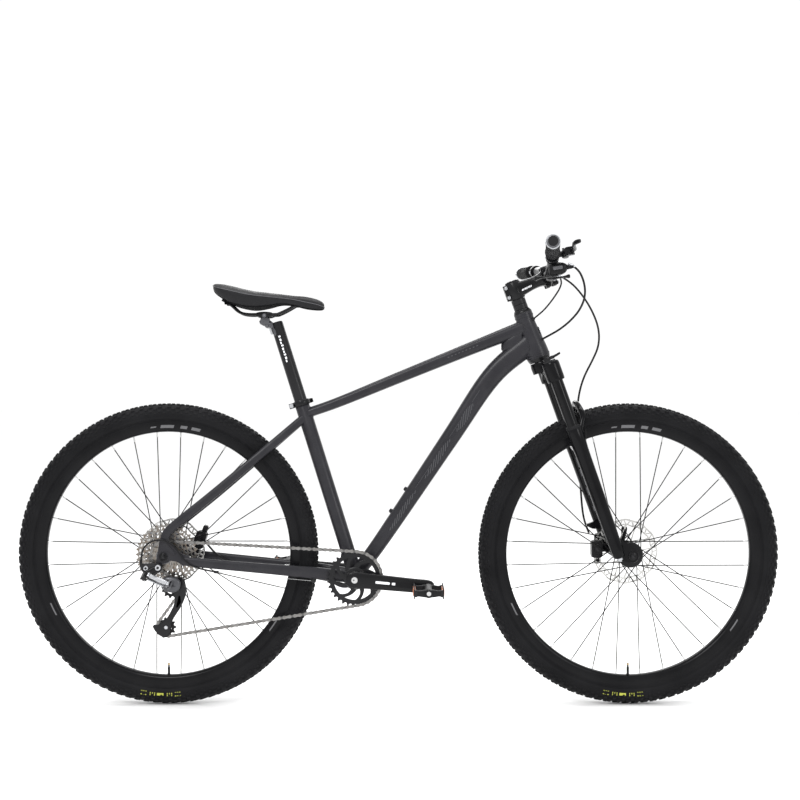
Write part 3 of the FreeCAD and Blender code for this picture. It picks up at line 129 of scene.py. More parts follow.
class Piece:
    """Gathers the vertices and faces of one piece."""

    def __init__(self):
        self.verts, self.faces, self.slots = [], [], []

    def add(self, verts, faces, slot=0):
        base = len(self.verts)
        self.verts.extend(Vector(v) for v in verts)
        self.faces.extend(tuple(base + i for i in face) for face in faces)
        self.slots.extend([slot] * len(faces))
        return self

    def rings(self, rings, slot=0, closed=False, caps=True):
        """Skins rings of equally many points, in order."""
        n, count = len(rings[0]), len(rings)
        verts = [p for ring in rings for p in ring]
        faces = []
        for i in range(count if closed else count - 1):
            a, b = i * n, ((i + 1) % count) * n
            faces += [(a + k, a + (k + 1) % n, b + (k + 1) % n, b + k) for k in range(n)]
        if caps and not closed:
            faces += [tuple(reversed(range(n))), tuple(range((count - 1) * n, count * n))]
        return self.add(verts, faces, slot)

    def lathe(self, profile, where, segments=96, slot=0, start=0.0, sweep=TAU):
        """Turns a closed profile of (radius, height) about the frame's Z."""
        whole = abs(sweep - TAU) < 1e-6
        rings = []
        for i in range(segments if whole else segments + 1):
            a = start + sweep * i / segments
            rings.append([where @ Vector((r * math.cos(a), r * math.sin(a), h)) for r, h in profile])
        return self.rings(rings, slot, closed=whole)

    def drum(self, radius, low, high, where, segments=48, slot=0, edge=0.0):
        """A cylinder with eased edges, from low to high along the frame's Z."""
        steps = [(radius - edge, low), (radius, low + edge), (radius, high - edge), (radius - edge, high)]
        if not edge:
            steps = [(radius, low), (radius, high)]
        rings = [[where @ Vector((x, y, h)) for x, y in ring_points(r, r, segments)] for r, h in steps]
        return self.rings(rings, slot)

    def prism(self, outline, low, high, where, slot=0):
        rings = [[where @ Vector((x, y, h)) for x, y in outline] for h in (low, high)]
        return self.rings(rings, slot)

    def block(self, size, where, slot=0, taper=1.0):
        x, y, z = (s / 2 for s in size)
        rings = [[where @ Vector((px * k, py * k, h)) for px, py in ((-x, -y), (x, -y), (x, y), (-x, y))]
                 for h, k in ((-z, 1.0), (z, taper))]
        return self.rings(rings, slot)

    def tube(self, points, radius, sides=16, slot=0, caps=True, power=2.0):
        """Sweeps a round section along points. radius is one number or one for each point."""
        points = [Vector(p) for p in points]
        radii = radius if isinstance(radius, (list, tuple)) else [radius] * len(points)
        rings = []
        normal = None
        for i, p in enumerate(points):
            ahead = points[min(i + 1, len(points) - 1)] - points[max(i - 1, 0)]
            ahead.normalize()
            if normal is None:
                normal = ahead.orthogonal()
            normal = (normal - ahead * normal.dot(ahead)).normalized()
            other = ahead.cross(normal)
            rings.append([p + normal * x + other * y
                          for x, y in ring_points(radii[i], radii[i], sides, power)])
        return self.rings(rings, slot, caps=caps)

    def sweep(self, stations, sides=32, slot=0, caps=True):
        """Skins ovals. A station is (centre, side axis, up axis, half width, half height, power)."""
        rings = []
        for centre, side, up, wide, tall, power in stations:
            rings.append([Vector(centre) + Vector(side) * x + Vector(up) * y
                          for x, y in ring_points(wide, tall, sides, power)])
        return self.rings(rings, slot, caps=caps)


def smooth_line(points, per_run=8):
    """Points along a Catmull-Rom curve through the given ones."""
    points = [Vector(p) for p in points]
    padded = [points[0] * 2 - points[1]] + points + [points[-1] * 2 - points[-2]]
    line = []
    for i in range(1, len(padded) - 2):
        a, b, c, d = padded[i - 1:i + 3]
        for k in range(per_run):
            t = k / per_run
            line.append(0.5 * ((2 * b) + (c - a) * t + (2 * a - 5 * b + 4 * c - d) * t ** 2
                               + (3 * b - a - 3 * c + d) * t ** 3))
    line.append(points[-1])
    return line


def smooth_stations(keys, per_run=6):
    """Stations between the given ones, each value eased along a smooth curve."""
    flat = [[*s[0], *s[1], *s[2], s[3], s[4], s[5]] for s in keys]
    padded = [[2 * a - b for a, b in zip(flat[0], flat[1])]] + flat
    padded += [[2 * a - b for a, b in zip(flat[-1], flat[-2])]]
    stations = []
    for i in range(1, len(padded) - 2):
        rows = padded[i - 1:i + 3]
        for k in range(per_run + (i == len(padded) - 3)):
            t = k / per_run
            v = [0.5 * (2 * b + (c - a) * t + (2 * a - 5 * b + 4 * c - d) * t * t
                        + (3 * b - a - 3 * c + d) * t ** 3) for a, b, c, d in zip(*rows)]
            stations.append((Vector(v[0:3]), Vector(v[3:6]).normalized(), Vector(v[6:9]).normalized(),
                             v[9], v[10], v[11]))
    return stations


def make(piece, name, materials, body, slot, replaces=(), bevel=0.0, smooth=40, subdivide=0, steps=2):
    """Turns a gathered piece into an object that rides on a CAD body."""
    mesh = bpy.data.meshes.new(name)
    mesh.from_pydata([v * MM for v in piece.verts], [], piece.faces)
    mesh.polygons.foreach_set("material_index", piece.slots)
    work = bmesh.new()
    work.from_mesh(mesh)
    bmesh.ops.recalc_face_normals(work, faces=work.faces)
    work.to_mesh(mesh)
    work.free()
    mesh.shade_smooth()
    mesh.set_sharp_from_angle(angle=math.radians(smooth))
    for material in materials if isinstance(materials, (list, tuple)) else [materials]:
        mesh.materials.append(material)
    obj = bpy.data.objects.new(name, mesh)
    bpy.context.scene.collection.objects.link(obj)
    if bevel:
        modifier = obj.modifiers.new("eased_edges", "BEVEL")
        modifier.width = bevel * MM
        modifier.segments = steps
        modifier.limit_method = "ANGLE"
        modifier.angle_limit = math.radians(smooth)
        modifier.harden_normals = True
    if subdivide:
        modifier = obj.modifiers.new("smooth", "SUBSURF")
        modifier.levels = modifier.render_levels = subdivide
    if replaces:
        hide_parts(*replaces)
    if body:
        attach(obj, body)
    return obj


# ---------------------------------------------------------------- materials

def shader(name, color, roughness, metallic=0.0, **sockets):
    """A material whose shader holds the plain values; returns the pieces that the others add to."""
    material = bpy.data.materials.new(name)
    material.use_nodes = True
    nodes, links = material.node_tree.nodes, material.node_tree.links
    bsdf = nodes["Principled BSDF"]
    bsdf.inputs["Base Color"].default_value = (*color, 1)
    bsdf.inputs["Roughness"].default_value = roughness
    bsdf.inputs["Metallic"].default_value = metallic
    for socket, value in sockets.items():
        bsdf.inputs[socket.replace("_", " ")].default_value = value
    return material, nodes, links, bsdf


def noise(nodes, links, scale, detail=4.0, stretch=(1, 1, 1)):
    """Noise in the object's own coordinates, in features per metre."""
    where = nodes.new("ShaderNodeTexCoord")
    mapping = nodes.new("ShaderNodeMapping")
    mapping.inputs["Scale"].default_value = stretch
    texture = nodes.new("ShaderNodeTexNoise")
    texture.inputs["Scale"].default_value = scale
    texture.inputs["Detail"].default_value = detail
    links.new(where.outputs["Object"], mapping.inputs["Vector"])
    links.new(mapping.outputs["Vector"], texture.inputs["Vector"])
    return texture.outputs["Fac"]


def spread(nodes, links, value, low, high, from_low=0.3, from_high=0.7):
    """Maps the middle of a noise onto a range."""
    node = nodes.new("ShaderNodeMapRange")
    for socket, number in (("From Min", from_low), ("From Max", from_high), ("To Min", low),
                           ("To Max", high)):
        node.inputs[socket].default_value = number
    links.new(value, node.inputs["Value"])
    return node.outputs["Result"]


def mixed(nodes, links, factor, first, second):
    """Mixes two colours; either may be another node's output."""
    node = nodes.new("ShaderNodeMix")
    node.data_type = "RGBA"
    links.new(factor, node.inputs["Factor"])
    for socket, value in ((node.inputs["A"], first), (node.inputs["B"], second)):
        if isinstance(value, bpy.types.NodeSocket):
            links.new(value, socket)
        else:
            socket.default_value = (*value, 1)
    return node.outputs["Result"]


def bump(nodes, links, bsdf, height, strength, depth_mm):
    node = nodes.new("ShaderNodeBump")
    node.inputs["Strength"].default_value = strength
    node.inputs["Distance"].default_value = depth_mm * MM
    links.new(height, node.inputs["Height"])
    links.new(node.outputs["Normal"], bsdf.inputs["Normal"])
    return node


def finish(name, color, roughness, metallic=0.0, grain=900.0, depth=0.02, stretch=(1, 1, 1), dust=0.0,
           dust_color=(0.30, 0.28, 0.25), wear=0.0, wear_color=(0.5, 0.5, 0.52), rough_spread=0.08,
           **sockets):
    """A worked surface: fine grain in its relief and gloss, a little dust in patches, worn edges."""
    material, nodes, links, bsdf = shader(name, color, roughness, metallic, **sockets)
    fine = noise(nodes, links, grain, 3, stretch)
    patch = noise(nodes, links, 14, 6)
    color_out = mixed(nodes, links, spread(nodes, links, patch, 0, 1), color,
                      tuple(min(1, c * 1.25 + 0.003) for c in color))
    if dust:
        color_out = mixed(nodes, links, spread(nodes, links, noise(nodes, links, 45, 8), 0, dust, 0.45, 0.75),
                          color_out, dust_color)
    if wear:
        geometry = nodes.new("ShaderNodeNewGeometry")
        edge = spread(nodes, links, geometry.outputs["Pointiness"], 0, wear, 0.54, 0.62)
        color_out = mixed(nodes, links, edge, color_out, wear_color)
    links.new(color_out, bsdf.inputs["Base Color"])
    links.new(spread(nodes, links, fine, max(0.02, roughness - rough_spread), roughness + rough_spread),
              bsdf.inputs["Roughness"])
    bump(nodes, links, bsdf, fine, 0.5, depth)
    return material


def leather(name, color):
    """Fine grained synthetic leather."""
    material, nodes, links, bsdf = shader(name, color, 0.5)
    where = nodes.new("ShaderNodeTexCoord")
    cells = nodes.new("ShaderNodeTexVoronoi")
    cells.feature = "DISTANCE_TO_EDGE"
    cells.inputs["Scale"].default_value = 620
    links.new(where.outputs["Object"], cells.inputs["Vector"])
    height = spread(nodes, links, cells.outputs["Distance"], 0, 1, 0.0, 0.22)
    links.new(spread(nodes, links, noise(nodes, links, 60, 5), 0.42, 0.6), bsdf.inputs["Roughness"])
    links.new(mixed(nodes, links, height, tuple(c * 0.6 for c in color), color), bsdf.inputs["Base Color"])
    bsdf.inputs["Specular IOR Level"].default_value = 0.25
    bump(nodes, links, bsdf, height, 0.35, 0.12)
    return material


def steel(name, color, roughness, stretch=(1, 1, 1), stain=0.0, stain_color=(0.22, 0.13, 0.07), grain=700):
    """Bare metal with drawn or ground marks, and a film of old oil where stain is above 0."""
    material, nodes, links, bsdf = shader(name, color, roughness, 1.0)
    marks = noise(nodes, links, grain, 4, stretch)
    color_out = mixed(nodes, links, spread(nodes, links, marks, 0, 1), tuple(c * 0.8 for c in color), color)
    if stain:
        color_out = mixed(nodes, links, spread(nodes, links, noise(nodes, links, 130, 6), 0, stain, 0.4, 0.7),
                          color_out, stain_color)
    links.new(color_out, bsdf.inputs["Base Color"])
    links.new(spread(nodes, links, marks, roughness - 0.08, roughness + 0.12), bsdf.inputs["Roughness"])
    bump(nodes, links, bsdf, marks, 0.4, 0.015)
    return material


M = {
    "frame": finish("frame_paint", (0.0150, 0.0147, 0.0178), 0.30, grain=1500, depth=0.006, dust=0.015,
                    Specular_IOR_Level=0.2),
    "graphic": finish("frame_graphic", (0.060, 0.061, 0.066), 0.34, grain=1500, depth=0.006,
                      Specular_IOR_Level=0.25),
    "fork": finish("fork_paint", (0.0022, 0.0022, 0.0028), 0.14, grain=900, depth=0.003, rough_spread=0.04,
                   Specular_IOR_Level=0.12),
    "stanchion": finish("stanchion_black", (0.0018, 0.0018, 0.0023), 0.10, 0.0, grain=2000, depth=0.002,
                        rough_spread=0.03, Specular_IOR_Level=0.15),
    "anodised": finish("black_anodised", (0.0032, 0.0032, 0.0039), 0.26, grain=1600, depth=0.006,
                       wear=0.04, Specular_IOR_Level=0.18),
    "grey": finish("dark_grey_anodised", (0.055, 0.056, 0.062), 0.34, 0.5, grain=1400, depth=0.01, wear=0.25),
    "silver": steel("satin_silver", (0.52, 0.53, 0.55), 0.30, grain=900),
    "bright": steel("plated_steel", (0.56, 0.56, 0.56), 0.2),
    "disc": steel("disc_steel", (0.58, 0.575, 0.56), 0.24, grain=1200),
    "spoke": finish("spoke_black", (0.002, 0.002, 0.0024), 0.45, grain=1500, depth=0.002,
                    Specular_IOR_Level=0.08),
    "chain": steel("chain_steel", (0.25, 0.245, 0.24), 0.34, stain=0.45, stain_color=(0.13, 0.115, 0.10)),
    "chain_dark": steel("chain_plate_steel", (0.15, 0.148, 0.145), 0.38, stain=0.5,
                        stain_color=(0.06, 0.055, 0.05)),
    "cassette": steel("cassette_steel", (0.27, 0.26, 0.245), 0.3, stain=0.85,
                      stain_color=(0.15, 0.108, 0.075)),
    # tyre and casing are one rubber in two tones: the knobs get a lighter copy, painted light on their tops,
    # and the casing between them a darker copy, painted shade in the gaps.
    "tyre": finish("tyre_rubber", (0.0066, 0.0066, 0.0074), 0.62, grain=2200, depth=0.05, dust=0.08,
                   dust_color=(0.018, 0.018, 0.019), Specular_IOR_Level=0.1),
    "casing": finish("tyre_sidewall_painted_shade", (0.0047, 0.0047, 0.0055), 0.6, grain=3200, depth=0.06, dust=0.08,
                     dust_color=(0.014, 0.014, 0.015), Specular_IOR_Level=0.1),
    "rim": finish("rim_black", (0.0028, 0.0028, 0.0035), 0.24, grain=1800, depth=0.004,
                  Specular_IOR_Level=0.12),
    "mark": finish("printed_grey", (0.36, 0.37, 0.39), 0.45, grain=900, depth=0.005),
    "mark_dark": finish("printed_dark_grey", (0.085, 0.085, 0.09), 0.45, grain=900, depth=0.005),
    "mark_yellow": finish("moulded_yellow", (0.40, 0.42, 0.05), 0.6, grain=900, depth=0.01),
    "white": finish("printed_white", (0.70, 0.71, 0.73), 0.4, grain=900, depth=0.005),
    "grip": finish("grip_rubber", (0.0050, 0.0050, 0.0058), 0.6, grain=1600, depth=0.06, dust=0.06,
                   dust_color=(0.03, 0.03, 0.03), Specular_IOR_Level=0.15),
    "plastic": finish("moulded_plastic", (0.0035, 0.0035, 0.0042), 0.4, grain=2600, depth=0.03,
                      Specular_IOR_Level=0.18),
    "hose": finish("hose_cover", (0.003, 0.003, 0.0036), 0.36, grain=1200, depth=0.01,
                   Specular_IOR_Level=0.2),
    "brass": steel("valve_brass", (0.60, 0.43, 0.20), 0.3),
    "ring": finish("chainring_black", (0.004, 0.004, 0.005), 0.3, grain=1600, depth=0.005,
                   Specular_IOR_Level=0.25),
    "under": finish("saddle_underside", (0.004, 0.004, 0.0045), 0.95, grain=900, depth=0.05,
                    rough_spread=0.03,
                    Specular_IOR_Level=0.05),
    "amber": finish("reflector_amber", (0.42, 0.13, 0.045), 0.25, grain=600, depth=0.05),
    "leather": leather("saddle_leather", (0.0060, 0.0060, 0.0074)),
    "thread": finish("saddle_thread", (0.06, 0.06, 0.065), 0.7, grain=3000, depth=0.05),
}


# ---------------------------------------------------------------- wheels

SECTION_RADIUS = 26.5
CASING_WIDE, CASING_TALL = 24.6, 22.8
CASING_CENTRE = TYRE_RADIUS - SECTION_RADIUS
TREAD_PITCHES = 100
RIM_HUB_SIDE = 295.0
SPOKES_PER_FLANGE = 16
# The side wall's yellow marks: each bar's width and its low and high radius, and in degrees where they start.
MARK_BARS = ((9, 333, 343), (5, 334, 342), (15, 335, 341), (5, 334, 342), (9, 333, 343))
MARKS_AT, MARK_STEP, MARK_RADIUS = 84.5, 3.5, 330


def casing_point(phi):
    """(radius, sideways) of the bare casing at phi from the middle of the tread."""
    return CASING_CENTRE + CASING_TALL * math.cos(phi), CASING_WIDE * math.sin(phi)


def casing_half_width(radius):
    """How far the bare casing's side wall stands from the wheel's middle plane at a radius."""
    return CASING_WIDE * math.sqrt(max(0, 1 - ((radius - CASING_CENTRE) / CASING_TALL) ** 2))


def about(axle, theta, radius, side):
    """A point round an axle: theta from straight ahead, towards the ground first."""
    return axle + Vector((radius * math.cos(theta), side, -radius * math.sin(theta)))


def knob(piece, axle, theta, phi, length, width, height, twist=0.0):
    """One tread block, with a chamfered top, standing on the casing."""
    radius, side = casing_point(phi)
    outward = about(Vector(), theta, 1, 0)
    along = about(Vector(), theta + TAU / 4, 1, 0)
    lean = phi * 0.8
    normal = outward * math.cos(lean) + Y * math.sin(lean)
    across = along.cross(normal)
    along, across = (along * math.cos(twist) + across * math.sin(twist),
                     across * math.cos(twist) - along * math.sin(twist))
    foot = about(axle, theta, radius, side)
    rings = []
    for lift, k in ((-1.2, 1.12), (height * 0.8, 0.94), (height, 0.78)):
        rings.append([foot + normal * lift + along * (x * length * k) + across * (y * width * k)
                      for x, y in ((-.5, -.5), (.5, -.5), (.5, .5), (-.5, .5))])
    piece.rings(rings)


def tyre(side, axle, wheel):
    where = upright(axle)
    reach = math.radians(137)
    outside = [casing_point(-reach + 2 * reach * i / 36) for i in range(37)]
    profile = outside + [(317.2, 12.4), (312, 10.6), (312, -10.6), (317.2, -12.4)]
    casing = Piece().lathe(profile, where, 192)
    for s in (-1, 1):
        for phi, fat in ((math.radians(101), 0.5), (math.radians(127), 0.8)):
            r, y = casing_point(phi)
            casing.lathe([(r - fat, s * (y - .5)), (r - fat * .4, s * (y + fat * .7)),
                          (r + fat * .4, s * (y + fat * .7)), (r + fat, s * (y - .5))], where, 160)
    # The casing takes the darker copy of the tyre rubber: painted shade between the knobs.
    make(casing, side + "_tyre_casing", M["casing"], wheel, "tyre_rubber", [side + "_tyre"], smooth=50)

    tread = Piece()
    for i in range(TREAD_PITCHES):
        theta = TAU * i / TREAD_PITCHES
        half = TAU / TREAD_PITCHES / 2
        for s in (-1, 1):
            middle_at, next_at = (0, 1.35) if s > 0 else (1, 0.35)
            for at, phi, length, width, height, twist in (
                    (middle_at, 0.13, 8.6, 5.6, 2.6, 0.25), (next_at, 0.45, 7.6, 5.6, 2.6, -0.3),
                    (0.3, 0.76, 8.6, 5.4, 2.9, 0.1), (1.3, 1.04, 7.8, 5.0, 2.8, 0),
                                                          (0.3, 1.28, 6.6, 4.2, 2.2, 0),
                    (1.3, 1.48, 5.2, 3.4, 1.5, 0)):
                knob(tread, axle, theta + half * at, s * phi, length, width, height, s * twist)
    # The knobs take the lighter copy of the same rubber: painted light on their tops.
    make(tread, side + "_tyre_tread", M["tyre"], wheel, "tyre_rubber", smooth=30)

    marks = Piece()
    for s in (-1, 1):
        for k, (width, low, high) in enumerate(MARK_BARS):
            bar = math.radians(MARKS_AT + k * MARK_STEP)
            arc = width / MARK_RADIUS / 3
            for step in range(3):
                start = bar + math.radians(step * 0.9)
                corners = ((start, low), (start + arc, low), (start + arc, high), (start, high))
                marks.rings([[about(axle, t, r, s * (casing_half_width(r) + lift)) for t, r in corners]
                             for lift in (-0.8, 0.35)])
    make(marks, side + "_tyre_marks", M["mark_yellow"], wheel, "tyre_rubber", smooth=30)


def rim(side, axle, wheel):
    where = upright(axle)
    profile = [(RIM_HUB_SIDE, -6), (RIM_HUB_SIDE - .4, 0), (RIM_HUB_SIDE, 6), (296.5, 9), (300, 12),
               (304, 13.0), (316, 13.4), (318.4, 13.5), (319, 12.8), (318.4, 11.9), (313, 11.3), (309, 8),
               (309, -8), (313, -11.3), (318.4, -11.9), (319, -12.8), (318.4, -13.5), (316, -13.4),
               (304, -13.0), (300, -12), (296.5, -9)]
    make(Piece().lathe(profile, where, 192), side + "_rim_body", M["rim"], wheel, "black_aluminium",
         [side + "_rim"], smooth=38)

    decal = Piece()
    for s in (-1, 1):
        for middle, spans in ((math.radians(275), ((-13, 2.5, 1.6), (-8.5, 6, 3.6), (.5, 3, 3.6),
                                                   (5.5, 4, 3.6))),
                              (math.radians(155), ((-4, 6, 1.6),)), (math.radians(35), ((-4, 6, 1.6),))):
            for start, length, tall in spans:
                a = middle + math.radians(start)
                rings = []
                for step in range(9):
                    b = a + math.radians(length) * step / 8
                    slant = math.radians(0.35)
                    rings.append([about(axle, b + (slant if r > 308 else 0), r, s * y)
                                  for r, y in ((308 - tall, 13.12 + .08), (308 + tall, 13.3 + .08),
                                               (308 + tall, 13.0), (308 - tall, 12.9))])
                decal.rings(rings)
    make(decal, side + "_rim_marks", M["mark_dark"], wheel, "black_aluminium", smooth=30)

    stem = place(axle + Vector((0, 0, -RIM_HUB_SIDE - 3)), X, Z)
    valve = Piece().drum(3.0, -1, 22, stem, 20, edge=.4).drum(3.9, 2.5, 5.5, stem, 6, edge=.5)
    valve.drum(2.1, 20, 31, stem, 16, edge=.3)
    valve.drum(2.8, 27, 30, stem, 16, edge=.3, slot=1)
    for k in range(12):
        valve.drum(3.15, 7 + k * 1.1, 7.6 + k * 1.1, stem, 16)
    make(valve, side + "_valve", [M["ring"], M["brass"]], wheel, "bright_steel", smooth=35)


def spokes(side, axle, wheel, left, right):
    wires, ends = Piece(), Piece()
    step = TAU / SPOKES_PER_FLANGE
    inner, outer = 25.0, RIM_HUB_SIDE + 1.0
    for flange, phase in ((left, 0.25), (right, 0.75)):
        for k in range(SPOKES_PER_FLANGE):
            out = 1 if k % 2 else -1
            start = -(k + phase) * step
            end = start + out * 3 * step
            hole = about(axle, start, inner, flange)
            foot = about(axle, start + out * 0.05, inner + 2.0, flange + out * 2.1)
            tip = about(axle, end, outer, 0.06 * flange)
            run = (tip - foot).normalized()
            elbow = [hole - Y * out * 2.2, hole + Y * out * 1.0, hole + Y * out * 1.9 + run * .5,
                     foot + run * 2.5, foot + run * 9]
            wires.tube(elbow + [tip - run * 10], 1.2, 8)
            ends.drum(1.9, -3.3, -2.0, place(hole, X, Y * out), 10, edge=.3)
            ends.tube([tip - run * 13, tip - run * 12.2, tip - run * 2.5, tip - run * 2.4, tip + run * 1.5],
                      [1.3, 1.75, 1.75, 2.4, 2.4], 10)
    make(wires, side + "_spoke_wires", M["spoke"], wheel, "spoke_steel", [side + "_spokes"], smooth=60)
    make(ends, side + "_spoke_nipples", M["bright"], wheel, "spoke_steel", smooth=40)


def hub(side, axle, wheel, left, right, disc, right_profile, left_end):
    where = upright(axle)
    waist, flange = 12.0, 29.0
    half = [(4.9, left_end), (8.6, left_end), (9, left_end - .5), (9, disc + .2), (12, disc), (19.4, disc),
            (20, disc - .6), (20, disc - 6), (18.5, disc - 7), (15.5, left + 2.2), (20, left + 1.6),
            (flange - .5, left + 1.5), (flange, left + 1), (flange, left - 1), (flange - .5, left - 1.5),
            (18, left - 1.7), (14, left - 4), (waist, left - 9), (waist, right + 9), (14, right + 4),
            (18, right + 1.7), (flange - .5, right + 1.5), (flange, right + 1), (flange, right - 1),
            (flange - .5, right - 1.5)]
    shell = Piece().lathe(half + right_profile + [(4.9, -left_end)], where, 72)
    make(shell, side + "_hub_shell", M["anodised"], wheel, "black_aluminium", [side + "_hub"], smooth=32)


def rotor(side, axle, wheel, at):
    """A skeleton disc: two wavy bands joined by struts, on raked arms, and its bolts."""
    where = upright(axle + Y * at)
    half, points = 0.9, 240
    disc = Piece()
    for low, high, wobble in ((76.2, 80.0, 1.0), (64.8, 68.2, 1.3)):
        rings = []
        for i in range(points):
            a = TAU * i / points
            wave = wobble * math.cos(a * 12) - wobble
            rings.append([where @ Vector((r * math.cos(a), r * math.sin(a), h)) for r, h in
                          ((low + wave, -half), (high + wave, -half), (high + wave, half),
                           (low + wave, half))])
        disc.rings(rings, closed=True)
    for k in range(48):
        a = TAU * k / 48
        turn = 0.045 if k % 2 else -0.045
        ends = [where @ Vector((r * math.cos(a + turn * f), r * math.sin(a + turn * f), 0))
                for r, f in ((66.0, -1), (78.0, 1))]
        disc.sweep([(p, (ends[1] - ends[0]).normalized().cross(Y), Y, 1.7, half - .04, 6.0) for p in ends],
                   12)
    disc.lathe([(17.5, -half), (26, -half), (26, half), (17.5, half)], where, 72)
    for k in range(6):
        base = TAU * k / 6
        for rake, wide in ((0.55, 5.5), (-0.12, 4.2)):
            rings = []
            for t in range(9):
                f = t / 8
                r = 24 + 43.5 * f
                a = base + rake * math.sin(f * math.pi / 2)
                w = wide * (1.25 - 0.75 * math.sin(f * math.pi)) / 2
                point = Vector((math.cos(a), math.sin(a), 0))
                side_way = Vector((-math.sin(a), math.cos(a), 0))
                rings.append([where @ (point * r + side_way * s * w + Z * h)
                              for s, h in ((-1, -half + .02), (1, -half + .02), (1, half - .02),
                                           (-1, half - .02))])
            disc.rings(rings)
    make(disc, side + "_brake_disc", M["disc"], wheel, "disc_steel", [side + "_rotor"], smooth=30)

    bolts = Piece()
    for k in range(6):
        a = TAU * k / 6 + .26
        spot = where @ Matrix.Translation((22 * math.cos(a), 22 * math.sin(a), half))
        bolts.drum(4.1, 0, 1.9, spot, 20, edge=.5).drum(1.7, 1.85, 2.0, spot, 6)
    make(bolts, side + "_disc_bolts", M["bright"], wheel, "bright_steel", smooth=30)


def wheels():
    tyre("front", FRONT_AXLE, "front_wheel")
    tyre("rear", REAR_AXLE, "rear_wheel")
    rim("front", FRONT_AXLE, "front_wheel")
    rim("rear", REAR_AXLE, "rear_wheel")
    spokes("front", FRONT_AXLE, "front_wheel", 20, -33)
    spokes("rear", REAR_AXLE, "rear_wheel", 33, -18.5)
    hub("front", FRONT_AXLE, "front_wheel", 20, -33, 36,
        [(18, -35), (18, -36.2), (30, -36.2), (30.6, -36.9), (30.2, -38), (22, -39), (16.5, -39.2), (16, -40.6),
         (11, -41.6), (9, -42), (9, -49.2)], 49.2)
    hub("rear", REAR_AXLE, "rear_wheel", 33, -18.5, 51,
        [(16.3, -21), (16.3, -64), (9, -64.5), (9, -66.8)], 66.8)
    rotor("front", FRONT_AXLE, "front_wheel", 36.9)
    rotor("rear", REAR_AXLE, "rear_wheel", 51.9)


# ---------------------------------------------------------------- drivetrain

def pitch_radius(teeth):
    return PITCH / (2 * math.sin(math.pi / teeth))


def toothed(teeth, tip=2.0, root=3.6, wide_every=0):
    """A sprocket's outline, starting on a tooth; rollers seat between the teeth."""
    outline = []
    radius = pitch_radius(teeth)
    for k in range(teeth):
        fat = 1.28 if wide_every and k % wide_every == 0 else 1.0
        for part, r in ((-.44, radius - root), (-.30, radius - root + .9), (-.17 * fat, radius - .2),
                        (-.07 * fat, radius + tip), (.07 * fat, radius + tip), (.17 * fat, radius - .2),
                        (.30, radius - root + .9), (.44, radius - root)):
            a = TAU * (k + part) / teeth
            outline.append((r * math.cos(a), r * math.sin(a)))
    return outline


def sprocket_band(piece, outline, bore, low, high, where, slot=0):
    """A flat ring from a toothed outline down to a round bore."""
    rings = []
    for x, y in outline:
        a = math.atan2(y, x)
        r = math.hypot(x, y)
        rings.append([where @ Vector((q * math.cos(a), q * math.sin(a), h))
                      for q, h in ((bore, low), (r, low + .25 * (r > bore + 3)), (r, high - .25),
                                   (bore, high))])
    return piece.rings(rings, slot, closed=True)


def cassette():
    cogs, spider = Piece(), Piece()
    teeth_list = (36, 32, 28, 24, 20, 17, 15, 13, 11)
    spacing, in_use = 4.35, teeth_list.index(COG_TEETH)
    for i, teeth in enumerate(teeth_list):
        y = CHAIN_Y + (in_use - i) * spacing
        where = upright(REAR_AXLE + Y * y) @ Matrix.Rotation(0.07 * i, 4, "Z")
        radius = pitch_radius(teeth)
        bore = max(17.2, radius - (6.4 if teeth > 20 else 10))
        sprocket_band(cogs, toothed(teeth), bore, -.85, .85, where)
        if bore > 20:
            for k in range(7):
                a = TAU * k / 7 + i * 0.12
                arm = []
                for t in range(6):
                    r = 19 + (bore + 1 - 19) * t / 5
                    b = a + 0.5 * t / 5
                    w = 4.2 - 1.4 * math.sin(math.pi * t / 5)
                    point = Vector((math.cos(b), math.sin(b), 0))
                    across = Vector((-math.sin(b), math.cos(b), 0))
                    arm.append([where @ (point * r + across * s * w + Z * h)
                                for s, h in ((-1, -.8), (1, -.8), (1, .8), (-1, .8))])
                spider.rings(arm)
    right_end = CHAIN_Y + (in_use - len(teeth_list) + 1) * spacing
    core = upright(REAR_AXLE)
    spider.lathe([(16.9, right_end), (19.5, right_end), (19.5, CHAIN_Y + in_use * spacing),
                  (16.9, CHAIN_Y + in_use * spacing)], core, 60)
    spider.lathe([(16.9, right_end - 1.2), (18.5, right_end - 1.2), (19.8, right_end - .3), (19.8, right_end),
                  (16.9, right_end)], core, 48)
    make(cogs, "cassette_cogs", M["cassette"], "cassette", "cassette_steel", ["cassette"], smooth=32)
    make(spider, "cassette_carrier", M["grey"], "cassette", "cassette_steel", smooth=35)


